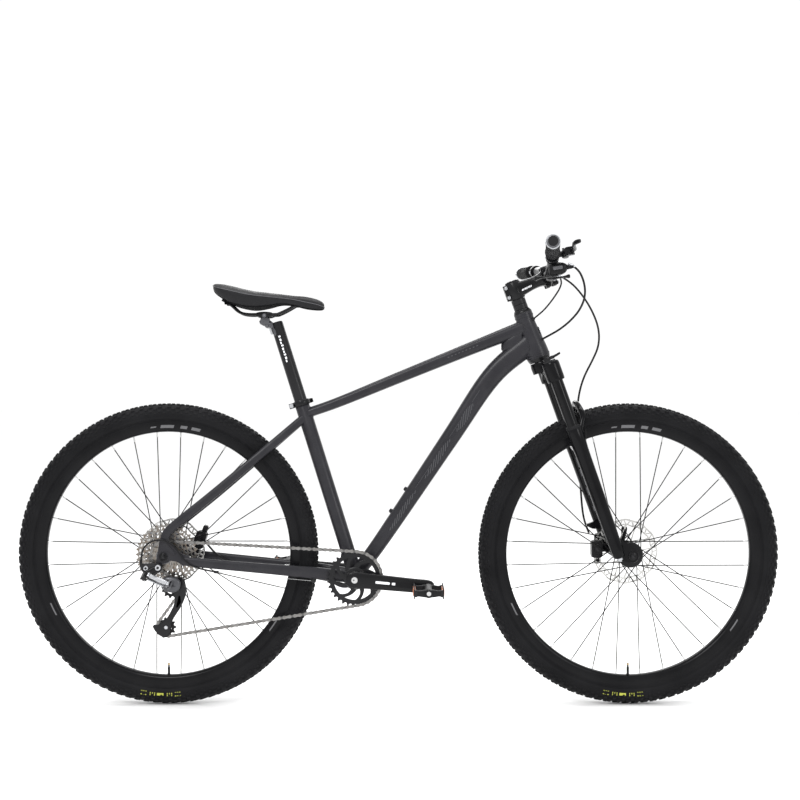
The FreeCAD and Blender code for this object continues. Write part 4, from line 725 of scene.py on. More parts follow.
def chain_route():
    """The chain's pitch line as evenly spaced link ends round its four wheels, all in one plane."""
    stops = [(REAR_AXLE, pitch_radius(COG_TEETH)), (BRACKET, pitch_radius(RING_TEETH)),
             (pivot("tension_pulley_spin"), pitch_radius(PULLEY_TEETH)),
             (pivot("guide_pulley_spin"), -pitch_radius(PULLEY_TEETH))]
    centres = [Vector((c.x, 0, c.z)) for c, r in stops]
    radii = [r for c, r in stops]
    leaving, arriving = [None] * 4, [None] * 4
    for i in range(4):
        j = (i + 1) % 4
        gap = centres[j] - centres[i]
        tilt = math.acos((radii[j] - radii[i]) / gap.length)
        ahead = gap.normalized()
        left_of = Vector((-ahead.z, 0, ahead.x))
        normal = ahead * math.cos(tilt) - left_of * math.sin(tilt)
        leaving[i], arriving[j] = centres[i] - normal * radii[i], centres[j] - normal * radii[j]
    line = []
    for i in range(4):
        a, b = arriving[i] - centres[i], leaving[i] - centres[i]
        start, turn = math.atan2(a.z, a.x), math.atan2(a.z, a.x) - math.atan2(b.z, b.x)
        turn = turn % TAU if radii[i] > 0 else -((-turn) % TAU)
        steps = 48
        line += [centres[i] + Vector((math.cos(start - turn * k / steps), 0,
                                      math.sin(start - turn * k / steps)))
                 * abs(radii[i]) for k in range(steps + 1)]
    line.append(line[0])
    lengths = [0.0]
    for p, q in zip(line, line[1:]):
        lengths.append(lengths[-1] + (q - p).length)
    links = round(lengths[-1] / PITCH / 2) * 2
    points, at = [], 0
    for k in range(links):
        target = lengths[-1] * k / links
        while lengths[at + 1] < target:
            at += 1
        f = (target - lengths[at]) / max(1e-9, lengths[at + 1] - lengths[at])
        points.append(line[at].lerp(line[at + 1], f) + Y * CHAIN_Y)
    return points


def chain():
    points = chain_route()
    inner, outer, pins = Piece(), Piece(), Piece()
    for k, start in enumerate(points):
        end = points[(k + 1) % len(points)]
        ahead = (end - start).normalized()
        up = ahead.cross(Y)
        length = (end - start).length
        waist, lobe = 2.6, 4.1
        outline = []
        for i in range(9):
            a = math.radians(100 + 160 * i / 8)
            outline.append((lobe * math.cos(a), lobe * math.sin(a)))
        outline.append((length / 2, -waist))
        for i in range(9):
            a = math.radians(-80 + 160 * i / 8)
            outline.append((length + lobe * math.cos(a), lobe * math.sin(a)))
        outline.append((length / 2, waist))
        lows = ((2.25, 3.15), (-3.15, -2.25)) if k % 2 else ((1.25, 2.15), (-2.15, -1.25))
        target = outer if k % 2 else inner
        for low, high in lows:
            where = Matrix((ahead, up, Y)).transposed().to_4x4()
            where.translation = start
            target.prism(outline, low, high, where)
        pins.drum(1.75, -3.6, 3.6, place(start, X, Y), 12, edge=.3)
        pins.drum(3.85, -1.2, 1.2, place(start, X, Y), 16)
    make(inner, "chain_inner_plates", M["chain_dark"], "frame", "chain_steel", ["chain"], smooth=35)
    make(outer, "chain_outer_plates", M["chain"], "frame", "chain_steel", smooth=35)
    make(pins, "chain_pins_and_rollers", M["chain"], "frame", "chain_steel", smooth=35)


def crank_place(side):
    """X along the crank arm on that side, Z outwards, at the middle of the bracket."""
    pedal = pivot("pedal_right_spin" if side < 0 else "pedal_left_spin")
    return place(BRACKET, Vector((pedal.x, 0, pedal.z)) - Vector((BRACKET.x, 0, BRACKET.z)), Y * side)


def cranks():
    ring = Piece()
    where = upright(BRACKET + Y * CHAIN_Y)
    where = where @ Matrix.Rotation(math.radians(4), 4, "Z")
    sprocket_band(ring, toothed(RING_TEETH, 2.3, 3.7, 2), 51.0, -1.0, 1.0, where)
    for k in range(8):
        a = TAU * k / 8
        arm = []
        for t in range(11):
            f = t / 10
            r = 21 + 31.5 * f
            b = a + 0.62 * f ** 1.4
            w = 4.8 + 3.0 * (1 - f) ** 2 + 2.4 * f ** 4
            point = Vector((math.cos(b), math.sin(b), 0))
            across = Vector((-math.sin(b), math.cos(b), 0))
            arm.append([where @ (point * r + across * s * w + Z * h)
                        for s, h in ((-1, -1.0), (-1, 1.0), (1, 1.0), (1, -1.0))])
        ring.rings(arm)
    ring.lathe([(13, -2.2), (25, -2.2), (27, -1), (27, 1), (25, 2.2), (13, 2.2)], where, 64)
    make(ring, "chainring_plate", M["ring"], "crankset", "black_aluminium", ["chainring"], smooth=32)

    arms, faces, fixings = Piece(), Piece(), Piece()
    for side in (-1, 1):
        base = crank_place(side)
        stations = []
        for x, wide, low, high in ((-19.5, 9, 60, 76), (-16, 15.5, 56, 78.5), (-8, 19.4, 53.5, 79.5),
                                   (6, 20.2, 53.5, 79.5), (22, 19.0, 60, 78.6), (45, 18.2, 62.6, 78.0),
                                   (110, 17.0, 63.2, 77.6), (150, 16.6, 63, 77.5), (168, 16.8, 62.8, 77.4),
                                   (182, 14.8, 63, 77.2), (189, 9.0, 64.4, 75.5)):
            stations.append((base @ Vector((x, 0, (low + high) / 2)), base.to_3x3() @ Y, base.to_3x3() @ Z,
                             wide, (high - low) / 2, 4.0))
        arms.sweep(smooth_stations(stations, 4), 40)
        arms.lathe([(12.2, 50.5), (17.5, 50.5), (18, 51.5), (18.6, 62), (12.2, 62)], base, 48)
        groove = ring_points(58, 6.4, 40, 6)
        spot = base @ Matrix.Translation((92, 0, 77.35))
        faces.prism(groove, 0, .42, spot, 0)
        label = ring_points(17, 2.9, 28, 8)
        faces.prism(label, 0.4, .62, spot @ Matrix.Translation((-25, 0, 0)), 1)
        faces.prism(ring_points(4, 2.9, 20, 8), .4, .62, spot @ Matrix.Translation((1, 0, 0)), 1)
        hub_spot = base @ Matrix.Translation((0, 0, 79.2))
        fixings.lathe([(0, -1), (7.4, -1), (7.4, .9), (6.6, 1.5), (3.9, 1.5), (3.7, .4), (0, .4)], hub_spot,
                      48)
        eye = base @ Matrix.Translation((175, 0, 76.2))
        fixings.lathe([(0, 0), (6.6, 0), (6.6, 1.4), (5.8, 1.9), (4.0, 1.9), (3.9, .8), (0, .8)], eye, 32)
    make(arms, "crank_arm_pair", M["anodised"], "crankset", "black_aluminium", ["crank_arms"], smooth=60)
    make(faces, "crank_arm_panels", [M["rim"], M["white"]], "crankset", "black_aluminium", smooth=30)
    make(fixings, "crank_bolts", M["bright"], "crankset", "bright_steel", smooth=30)


def pedals():
    for side, name in ((-1, "right"), (1, "left")):
        centre = pivot("pedal_%s_spin" % name)
        where = place(centre, X, Y * side)
        body, cage, amber, screws = Piece(), Piece(), Piece(), Piece()
        body.lathe([(5.6, -45), (9, -45), (11.4, -41), (11.4, -30), (9.8, -24), (9.4, 18), (10.8, 26),
                    (11.2, 38), (9.6, 43), (8.8, 45), (5.6, 45)], where, 40)
        for s in (-1, 1):
            arms = []
            for x, tall in ((-32.5, 7.6), (-22, 6.8), (-9, 8.8), (9, 8.8), (22, 6.8), (32.5, 7.6)):
                arms.append((where @ Vector((x, 0, s * 39.5)), where.to_3x3() @ Y, where.to_3x3() @ Z, tall,
                             4.2, 5.0))
            body.sweep(smooth_stations(arms, 3), 20)
        make(body, "pedal_%s_core" % name, M["plastic"], "pedal_" + name, "black_aluminium",
             ["pedal_" + name],
             smooth=45)
        for s in (-1, 1):
            outline, teeth = [], 11
            for k in range(teeth):
                for part, tall in ((0.08, 10.4), (0.28, 12.9), (0.55, 12.9), (0.78, 10.4)):
                    outline.append((-46 + 92 * (k + part) / teeth, tall))
            outline += [(-x, -y) for x, y in outline]
            plate = place(centre + X * s * 33.6, Y, X)
            cage.prism(outline, -1.3, 1.3, plate)
            for end in (-1, 1):
                lug = place(centre + X * s * 30.5 + Y * end * 39.5, Y, X)
                cage.block((9, 16, 6), lug)
                screws.drum(2.6, 0, 1.6, place(centre + X * s * 34.8 + Y * end * 39.5, X, X * s), 16, edge=.4)
            amber.prism(ring_points(27, 8.0, 24, 12), -1.6 * s, 4.2 * s, place(centre + X * s * 32.1, Y, X))
        make(cage, "pedal_%s_cage" % name, M["anodised"], "pedal_" + name, "black_aluminium", bevel=.35,
             smooth=30)
        make(amber, "pedal_%s_reflectors" % name, M["amber"], "pedal_" + name, "black_aluminium", bevel=.7,
             smooth=30)
        make(screws, "pedal_%s_screws" % name, M["bright"], "pedal_" + name, "bright_steel", smooth=30)


# ---------------------------------------------------------------- frame

HEAD_LENGTH, HEAD_LOW_RADIUS, HEAD_HIGH_RADIUS = 115.0, 28.5, 22.5
SHELL_RADIUS, SHELL_HALF = 21.0, 36.5
SEAT_RADIUS, SEAT_LENGTH = 17.45, 447.0


def head_radius(up):
    """The head tube's outside at a height along it: flared at both ends."""
    f = min(1, max(0, (up - 8) / 78))
    base = HEAD_LOW_RADIUS + (HEAD_HIGH_RADIUS - HEAD_LOW_RADIUS) * f * f * (3 - 2 * f)
    return base - 0.9 * math.exp(-((up - 92) / 14) ** 2)


def make_painted(piece, name, replaces=(), **look):
    """A piece of the frame in the frame's own paint."""
    make(piece, name, M["frame"], "frame", "frame_paint", replaces, **look)


def tube_stations(points, wides, talls, power):
    """Stations along points in the middle plane or beside it, with the side axis across the bike."""
    stations = []
    for i, p in enumerate(points):
        ahead = (points[min(i + 1, len(points) - 1)] - points[max(i - 1, 0)]).normalized()
        side = (Y - ahead * Y.dot(ahead)).normalized()
        stations.append((p, side, ahead.cross(side), wides[i], talls[i], power[i]))
    return stations


def weld(piece, station, towards, line_point, line_axis, radius, fat=2.1, count=72):
    """A rippled bead where an oval tube, sent along towards, meets a round tube of that radius."""
    centre, side, up, wide, tall, power = station
    towards = Vector(towards).normalized()
    loop = []
    for x, y in ring_points(wide, tall, count, power):
        start = Vector(centre) + Vector(side) * x + Vector(up) * y
        low, high = -80.0, 80.0

        def outside(t):
            off = start + towards * t - line_point
            along = off.dot(line_axis)
            reach = radius(along) if callable(radius) else radius
            return (off - line_axis * along).length > reach

        if outside(0) == outside(high) and outside(high):
            steps = [t for t in range(0, 80, 2) if not outside(t)]
            if not steps:
                return
            low, high = steps[0] - 2.0, float(steps[0])
        else:
            low, high = 0.0, high
        for _ in range(24):
            middle = (low + high) / 2
            low, high = (middle, high) if outside(middle) else (low, middle)
        loop.append(start + towards * low)
    rings = []
    for i, p in enumerate(loop):
        ahead = (loop[(i + 1) % count] - loop[i - 1]).normalized()
        off = p - line_point
        normal = (off - line_axis * off.dot(line_axis)).normalized()
        other = ahead.cross(normal).normalized()
        for part in (0, 1):
            spot = p.lerp(loop[(i + 1) % count], part / 2)
            size = fat * (1.0 if part else 0.92)
            rings.append([spot + normal * x * size + other * y * size * 1.25
                          for x, y in ring_points(1, 1, 8)])
    piece.rings(rings, closed=True)


def main_frame():
    head = place(HEAD_LOW, HEAD_AHEAD, HEAD_UP)
    levels = [HEAD_LENGTH * i / 28 for i in range(29)]
    outside = [(head_radius(h), h) for h in levels]
    outside = [(HEAD_LOW_RADIUS - .8, 0)] + [(HEAD_LOW_RADIUS, .8)] + outside[1:-1]
    outside += [(HEAD_HIGH_RADIUS, HEAD_LENGTH - .8), (HEAD_HIGH_RADIUS - .8, HEAD_LENGTH)]
    tube = Piece().lathe([(24, 0)] + outside + [(19, HEAD_LENGTH), (19, 40), (24, 12)], head, 96)
    for up in (6, 106):
        tube.lathe([(head_radius(up) - 1, up - 3), (head_radius(up) + .9, up - 2.2),
                    (head_radius(up) + .9, up + 2.2), (head_radius(up) - 1, up + 3)], head, 96)
    make_painted(tube, "head_tube_shell", ["head_tube"], smooth=32)

    badge = Piece()
    for k, (w, t) in enumerate(((11.5, 16), (9.2, 13.2))):
        front = place(in_head(head_radius(56) - .55 + k * .35, 0, 56), Y, HEAD_AHEAD)
        badge.prism(ring_points(w, t, 40, 2.6), -.6, .75, front, k)
    make(badge, "head_badge", [M["silver"], M["rim"]], "frame", "silver_aluminium", bevel=.25, smooth=30)

    top_points = [in_seat(4, 0, 412), Vector((-142, 0, 733)), Vector((0, 0, 791)), Vector((150, 0, 852)),
                  in_head(-6, 0, 82)]
    top = smooth_stations(tube_stations(top_points, (15, 16, 17, 18.5, 19.5), (12, 12.5, 13.8, 15.5, 18),
                                        (2.3, 2.8, 3.0, 2.8, 2.4)), 8)
    make_painted(Piece().sweep(top, 56), "top_tube_shell", ["top_tube"], smooth=60)

    down_points = [BRACKET + Vector((6, 0, 10)), Vector((-38, 0, 401)), Vector((123.5, 0, 641)),
                   Vector((226, 0, 793)), in_head(-8, 0, 42)]
    down = smooth_stations(tube_stations(down_points, (17, 17.5, 19.5, 21, 22), (17.5, 18.5, 21.5, 24.5, 28),
                                         (2.2, 2.7, 3.1, 2.9, 2.4)), 8)
    make_painted(Piece().sweep(down, 64), "down_tube_shell", ["down_tube"], smooth=60)

    shell = upright(BRACKET)
    body = Piece().lathe([(17.5, -SHELL_HALF), (20.3, -SHELL_HALF), (21, -SHELL_HALF + .7),
                          (21, SHELL_HALF - .7),
                          (20.3, SHELL_HALF), (17.5, SHELL_HALF)], shell, 72)
    make_painted(body, "bottom_bracket_tube", ["bottom_bracket_shell"], smooth=35)
    seat = place(BRACKET, SEAT_AHEAD, SEAT_UP)
    body = Piece().lathe([(15.6, 18), (SEAT_RADIUS + 1.2, 18), (SEAT_RADIUS, 50),
                          (SEAT_RADIUS, SEAT_LENGTH - 1),
                          (SEAT_RADIUS - .5, SEAT_LENGTH), (15.6, SEAT_LENGTH)], seat, 72)
    make_painted(body, "seat_tube_shell", ["seat_tube"], smooth=35)

    beads = Piece()
    weld(beads, top[-2], top[-1][0] - top[-2][0], HEAD_LOW, HEAD_UP, head_radius, 1.5)
    weld(beads, down[-6], down[-1][0] - down[-6][0], HEAD_LOW, HEAD_UP, head_radius, 1.6)
    weld(beads, top[4], top[0][0] - top[4][0], BRACKET, SEAT_UP, SEAT_RADIUS, 1.5)
    weld(beads, down[7], down[0][0] - down[7][0], BRACKET, Y, SHELL_RADIUS, 2.1)
    ring = (in_seat(0, 0, 60), Y, SEAT_AHEAD, SEAT_RADIUS, SEAT_RADIUS, 2.0)
    weld(beads, ring, -SEAT_UP, BRACKET, Y, SHELL_RADIUS, 2.0)

    for side in (-1, 1):
        chain_points = [Vector((x, side * y, z)) for x, y, z in
                        ((-118, 26, 311), (-170, 36, 318), (-215, 43, 324), (-330, 59, 336), (-462, 69, 349),
                         (-514, 71.5, 355))]
        stations = smooth_stations(tube_stations(chain_points, (9, 8, 7.5, 7, 6.5, 5.6),
                                                 (14.5, 14.5, 14, 12, 11, 10.2), (2.6,) * 6), 8)
        chainstay = Piece().sweep(stations, 40)
        weld(beads, stations[5], stations[0][0] - stations[5][0], BRACKET, Y, SHELL_RADIUS, 1.8)
        seat_points = [Vector((x, side * y, z)) for x, y, z in
                       ((-556, 71.5, 394), (-552, 71.5, 416), (-532, 70.5, 439), (-448, 62, 507),
                        (-345, 46, 594),
                        (-224, 8, 698))]
        upper = smooth_stations(tube_stations(seat_points, (6, 6.8, 7, 7, 7, 7),
                                              (9.6, 10.5, 10.5, 10.5, 10, 10),
                                              (2.6,) * 6), 8)
        seatstay = Piece().sweep(upper, 40)
        weld(beads, upper[-7], upper[-1][0] - upper[-7][0], BRACKET, SEAT_UP, SEAT_RADIUS, 1.7)
        name = "right" if side < 0 else "left"
        make_painted(chainstay, "chainstay_" + name, ["chainstays"], smooth=60)
        make_painted(seatstay, "seatstay_" + name, ["seatstays"], smooth=60)
    bridge = [Vector((-398, y, 549 + 2.5 * math.cos(y / 52 * math.pi / 2))) for y in range(-52, 53, 8)]
    beads.tube(bridge, 6.5, 24)
    bridge = [Vector((-207, y, 322)) for y in range(-40, 41, 8)]
    beads.tube(bridge, 7.5, 24)
    make_painted(beads, "frame_welds_and_bridges", smooth=60)

    gusset = [(Vector((x, 0, z)), Y, Z, wide, tall, 2.6) for x, z, wide, tall in
              ((250, 866, 5, 7), (256, 868, 11, 16), (266, 871, 15, 24), (280, 875, 17.5, 33),
               (298, 878, 18.5, 40))]
    make_painted(Piece().sweep(smooth_stations(gusset, 4), 40), "head_gusset", smooth=60)

    dropouts()
    graphics(top, down)
    bosses()


def rounded(outline, radius, steps=5):
    """An outline with its corners rounded, each by at most a third of the shorter side beside it."""
    points = [Vector((p[0], p[1])) for p in outline]
    result = []
    for i, p in enumerate(points):
        before, after = points[i - 1] - p, points[(i + 1) % len(points)] - p
        cut = min(radius, before.length / 3, after.length / 3)
        a, b = p + before.normalized() * cut, p + after.normalized() * cut
        for k in range(steps + 1):
            t = k / steps
            result.append(tuple(a * (1 - t) ** 2 + p * 2 * t * (1 - t) + b * t * t))
    return result


def dropouts():
    piece = Piece()
    web = [(-14, -9), (-13, 12), (-9, 40), (-4, 50), (8, 50), (14, 36), (27, 20), (46, 6), (62, 2), (62, -22),
           (48, -20), (30, -11), (14, -9), (4, -15), (-4, -16)]
    rim_of = [(-10, 4), (-6, 38), (5, 42), (12, 28), (30, 9), (24, 3), (12, 14), (0, 14)]
    for side in (-1, 1):
        middle = REAR_AXLE + Y * side * 71.5
        piece.prism(rounded(web, 7), -3.9, 3.9, side_plate(middle))
        piece.prism(rounded(rim_of, 5), -1.2, 1.2, side_plate(middle + Y * side * 4.2))
        if side < 0:
            hanger = [(-18, -24), (-16, -2), (0, -9), (-2, -18), (-6, -30), (-14, -30)]
            piece.prism(rounded(hanger, 4), -3.6, 3.6, side_plate(middle))
    make_painted(piece, "dropout_plates", ["dropouts"], bevel=1.2, smooth=35, steps=3)


def side_plate(centre):
    """A frame whose X is forward, Y is up and Z is to the rider's right."""
    return place(centre, X, -Y)


def graphics(top, down):
    """Tone-on-tone bars and hatching on the tubes' sides: no lettering."""
    piece = Piece()

    def patch(stations, at, length, low, high, slant, side):
        """A sliver on a tube. at and length are shares of the tube's length, low and high of its height."""
        rings = []
        for step in range(7):
            row = []
            for lift in (-.4, .22):
                for level in (low, (low + high) / 2, high) if lift > 0 else (high, (low + high) / 2, low):
                    f = (at + length * step / 6 + slant * level) * (len(stations) - 1)
                    i = min(len(stations) - 2, max(0, int(f)))
                    g = f - i
                    a, b = stations[i], stations[i + 1]
                    wide, tall = a[3] * (1 - g) + b[3] * g, a[4] * (1 - g) + b[4] * g
                    power = a[5] * (1 - g) + b[5] * g
                    x = (1 - abs(level) ** power) ** (1 / power)
                    row.append(a[0].lerp(b[0], g) + Y * side * (wide * x + lift)
                               + a[2].lerp(b[2], g) * level * tall)
            rings.append(row)
        piece.rings(rings)

    for side in (-1, 1):
        for middle, tallest in ((0.33, .30), (0.455, .34), (0.58, .38)):
            for k in range(11):
                reach = tallest * math.sin(math.pi * (k + 1) / 12)
                patch(down, middle + (k - 5) * 0.009, 0.003, -.08 - reach, -.08 + reach, 0.035, side)
            patch(down, middle + 0.045, 0.05, .16, .19, 0.035, side)
        for k in range(9):
            patch(top, 0.70 + k * 0.014, 0.006, -.06, .06, 0.01, side)
    make(piece, "tube_graphics", M["graphic"], "frame", "frame_paint", smooth=30)


def bosses():
    piece, bolts = Piece(), Piece()
    up = Vector((-0.830, 0, 0.558))
    for foot in (Vector((-12, 0, 463.7)), Vector((23.7, 0, 516.8))):
        where = place(foot, Y, up)
        piece.drum(5.5, -2, 9.2, where, 32, edge=.6)
        piece.drum(8.5, -3, 2.4, where, 32, edge=1.2)
        bolts.drum(4.6, 9.1, 11.6, where, 24, edge=.9)
        bolts.drum(2.0, 11.55, 11.7, where, 6)
    make_painted(piece, "bottle_bosses", smooth=35)
    make(bolts, "bottle_boss_bolts", M["anodised"], "frame", "black_aluminium", smooth=30)


def seat_collar():
    seat = place(BRACKET, SEAT_AHEAD, SEAT_UP)
    band = Piece().lathe([(17.6, 433), (20.4, 433), (21.1, 434), (21.1, 445), (20.4, 446), (17.6, 446)],
                         seat, 72, start=math.pi + .06, sweep=TAU - .12)
    for side in (-1, 1):
        lug = place(in_seat(-24.5, side * 4.2, 439.5), SEAT_AHEAD, SEAT_UP)
        band.block((12, 6.6, 12.6), lug)
    make(band, "seat_collar_band", M["anodised"], "frame", "black_aluminium", ["seat_collar"], bevel=.6,
         smooth=35)
    skewer = Piece()
    rod = place(in_seat(-25, 0, 439.5), SEAT_UP, Y)
    skewer.drum(2.5, -13, 13, rod, 20).drum(5.6, -15, -9, rod, 28, edge=.7)
    make(skewer, "seat_collar_skewer", M["silver"], "frame", "silver_aluminium", smooth=35)

    lever = Piece()
    pin = pivot("seat_qr_open")
    lever.drum(6.2, -5.6, 5.6, place(pin, SEAT_AHEAD, SEAT_UP), 32, edge=.8)
    blade = []
    for ahead, side, wide, tall in ((-25, 20.5, 3.4, 5.0), (-18, 25.5, 2.6, 5.0), (-4, 26.5, 2.2, 4.8),
                                    (12, 25, 2.2, 5.2), (22, 21, 2.4, 5.6), (28, 15.5, 2.0, 4.6)):
        blade.append((in_seat(ahead, side, 439.5), Y, SEAT_UP, wide, tall, 3.0))
    lever.sweep(smooth_stations(blade, 4), 24)
    make(lever, "seat_qr_blade", M["anodised"], "seat_qr_lever", "black_aluminium", ["seat_qr_lever"],
         smooth=50)


def seat():
    """The post, its forged head, the rails and the padded saddle."""
    post_top = SEAT_LENGTH + 178
    up = place(BRACKET, SEAT_AHEAD, SEAT_UP)
    clamp = pivot("saddle_tilt")
    post = Piece().lathe([(13.2, 287), (15.4, 287), (15.4, post_top + 17), (15.0, post_top + 19),
                          (13, post_top + 20.5),
                          (0, post_top + 21.5), (0, post_top + 10), (13.2, post_top)], up, 72)
    neck = []
    for p, wide, tall in ((in_seat(-3, 0, post_top - 4), 13.5, 15),
                          (in_seat(-12, 0, post_top + 1), 14.5, 12.5),
                          (clamp + Vector((20, 0, -11)), 15.5, 10), (clamp + Vector((8, 0, -7)), 16, 9.5),
                          (clamp + Vector((-6, 0, -4)), 15.6, 7.5), (clamp + Vector((-13, 0, -3)), 14, 4.5)):
        neck.append((p, Y, Vector((-.25, 0, .97)), wide, tall, 2.6))
    head = Piece().sweep(smooth_stations(neck, 5), 40)
    head.drum(11.4, -16, 16, place(clamp, X, Y), 48, edge=1.0)
    head.drum(4.6, -17.5, 17.5, place(clamp + Vector((5, 0, -12)), X, Y), 28, edge=.8)
    barrel = Piece().drum(4.2, -9, 9, place(in_seat(-17, 0, post_top + 4), SEAT_AHEAD, SEAT_UP), 24, edge=.8)
    make(barrel, "seatpost_head_bolt", M["silver"], "seatpost", "silver_aluminium", smooth=35)
    make(post, "seatpost_tube", M["anodised"], "seatpost", "black_aluminium", ["seatpost"], smooth=35)
    make(head, "seatpost_head", M["grey"], "seatpost", "dark_grey_aluminium", smooth=45)
    lines = Piece()
    for k in range(9):
        spot = in_seat(-15.42, 0, SEAT_LENGTH + 14 + k * 10)
        lines.block((5.5 if k % 2 else 9, .8, .25), place(spot, Y, -SEAT_AHEAD))
    label = Piece()
    for k in range(9):
        high = post_top - 14 - k * 7.6
        low = high - (5.6 if k % 3 else 4.2)
        label.lathe([(15.4, high), (15.52, high), (15.52, low), (15.4, low)], up, 10,
                    start=-1.86 + .03 * (k % 2), sweep=.34 - .06 * (k % 3))
    make(label, "seatpost_label", M["white"], "seatpost", "silver_aluminium", smooth=30)
    make(lines, "seatpost_height_marks", M["mark"], "seatpost", "silver_aluminium", smooth=30)

    cradle = Piece()
    for side in (-1, 1):
        yoke = [(Vector((clamp.x + x, side * 22, 943)), Y, Z, 6.6, tall, 3.2)
                for x, tall in ((-20, 4.0), (-13, 6.2), (0, 7.2), (13, 6.2), (20, 4.0))]
        cradle.sweep(smooth_stations(yoke, 4), 28)
    bridge = [(Vector((clamp.x, y, 944.5)), X, Z, 15, 4.4, 3.4) for y in (-24, -12, 0, 12, 24)]
    cradle.sweep(smooth_stations(bridge, 3), 28)
    make(cradle, "saddle_cradle_yokes", M["anodised"], "saddle_cradle", "dark_grey_aluminium",
         ["saddle_clamp"], smooth=45)
    bolts = Piece()
    for side in (-1, 1):
        bolts.drum(5.0, 27.5, 30.5, place(Vector((clamp.x, 0, 941)), X, Y * side), 28, edge=.8)
        bolts.drum(2.2, 30.4, 30.6, place(Vector((clamp.x, 0, 941)), X, Y * side), 6)
    bolts.drum(3.0, -30, 30, place(Vector((clamp.x, 0, 941)), X, Y), 20)
    make(bolts, "saddle_clamp_bolt", M["grey"], "saddle_cradle", "dark_grey_aluminium", smooth=35)

    rails = Piece()
    for side in (-1, 1):
        line = [(-425, 24, 979), (-412, 23, 972), (-400, 22.5, 963), (-388, 22, 952), (-376, 22, 946),
                (-360, 22, 943.6), (-340, 22, 943.5), (-298, 22, 943.5), (-287, 21.4, 946),
                (-273, 19.6, 952.5),
                (-258, 17, 960.5), (-245, 14, 968.5)]
        rails.tube(smooth_line([Vector((x, side * y, z)) for x, y, z in line], 5), 3.5, 20)
    make(rails, "saddle_rail_pair", M["anodised"], "saddle", "bright_steel", ["saddle_rails"], smooth=60)
    saddle()


SADDLE_KEYS = (
    # x, top, side seam, bottom, half width
    (-447, 1016.5, 1012, 1005, 26), (-440, 1018.0, 1008, 994, 50), (-425, 1017.0, 1003, 982, 64),
    (-400, 1012.0, 997, 968, 72), (-370, 1004.5, 990, 960, 73), (-345, 999.5, 986, 958, 69),
    (-315, 996.5, 984, 962, 53), (-285, 993.6, 982, 968, 37), (-255, 990.2, 979, 966, 27.5),
    (-225, 988.0, 973, 958.5, 24), (-200, 982.5, 968, 955.5, 21.5), (-186, 976.0, 964, 955.5, 17),
    (-180, 970.0, 962, 957.5, 10))
# Points across the cover's top in one section, and the one that the stitches follow.
TOP_POINTS, STITCHES = 25, 6


def saddle_values(count):
    """Stations along the saddle, eased between its keys."""
    keys = [tuple(float(v) for v in key) for key in SADDLE_KEYS]
    padded = [tuple(2 * a - b for a, b in zip(keys[0], keys[1]))] + keys
    padded += [tuple(2 * a - b for a, b in zip(keys[-1], keys[-2]))]
    rows = []
    for i in range(1, len(padded) - 2):
        four = padded[i - 1:i + 3]
        for k in range(count + (i == len(padded) - 3)):
            t = k / count
            rows.append([0.5 * (2 * b + (c - a) * t + (2 * a - 5 * b + 4 * c - d) * t * t
                                + (3 * b - a - 3 * c + d) * t ** 3) for a, b, c, d in zip(*four)])
    return rows


def saddle_section(x, top, seam, bottom, half):
    """One closed section: a crowned top with a shallow middle channel, a seam, and a skirt that turns in."""
    channel = 3.0 * math.exp(-((x + 330) / 62) ** 2)
    ring = []
    for i in range(TOP_POINTS):
        f = -1 + 2 * i / (TOP_POINTS - 1)
        crown = (1 - abs(f) ** 2.5)
        z = seam + (top - seam) * crown ** 0.62 - channel * math.exp(-(f * half / 7.5) ** 2)
        ring.append((f * half, z))
    for f, level in ((1.0, .12), (.985, .35), (.95, .62), (.9, .85), (.84, 1.0)):
        ring.append((f * half, seam - (seam - bottom) * level))
    for f in (.6, .3, 0, -.3, -.6):
        ring.append((f * half * .84, bottom + 5 * (1 - f * f)))
    for f, level in ((.84, 1.0), (.9, .85), (.95, .62), (.985, .35), (1.0, .12)):
        ring.append((-f * half, seam - (seam - bottom) * level))
    return [Vector((x, y, z)) for y, z in ring]


def saddle():
    rows = saddle_values(5)
    body = Piece().rings([saddle_section(*row) for row in rows])
    cover = make(body, "saddle_cover", M["leather"], "saddle", "saddle_cover", ["saddle"], smooth=180,
                 subdivide=1)
    seams = Piece()
    for side in (-1, 1):
        edge = [saddle_section(*row)[TOP_POINTS - 1 if side > 0 else 0] + Vector((0, side * .2, .3))
                for row in rows]
        seams.tube(edge, 0.8, 8)
        stitched = [saddle_section(*row)[STITCHES if side < 0 else TOP_POINTS - 1 - STITCHES] + Z * .1
                    for row in rows if -425 < row[0] < -215]
        stitches = smooth_line(stitched, 3)
        for k in range(0, len(stitches) - 2, 3):
            seams.tube(stitches[k:k + 3], .42, 6)
    make(seams, "saddle_seams", M["thread"], "saddle", "saddle_cover", smooth=60)
    base = Piece()
    rings = []
    for x, _, _, bottom, half in rows[3:-4]:
        rings.append([Vector((x, f * half * .86, bottom + 3.2 + 4.4 * (1 - f * f) - lift))
                      for lift, fs in ((0, (-1, -.6, -.2, .2, .6, 1)), (3.6, (1, .6, .2, -.2, -.6, -1)))
                      for f in fs])
    base.rings(rings)
    for side in (-1, 1):
        base.block((22, 13, 9), place(Vector((-408, side * 22, 972)), X, Z))
        base.block((20, 12, 9), place(Vector((-240, side * 12.5, 967)), X, Z))
    make(base, "saddle_shell", M["under"], "saddle", "black_plastic", bevel=1.0, smooth=40)


# ---------------------------------------------------------------- fork

LEG_AHEAD, LEG_SIDE = 14.0, 65.0


def head_place(ahead, side, up):
    return place(in_head(ahead, side, up), HEAD_AHEAD, HEAD_UP)


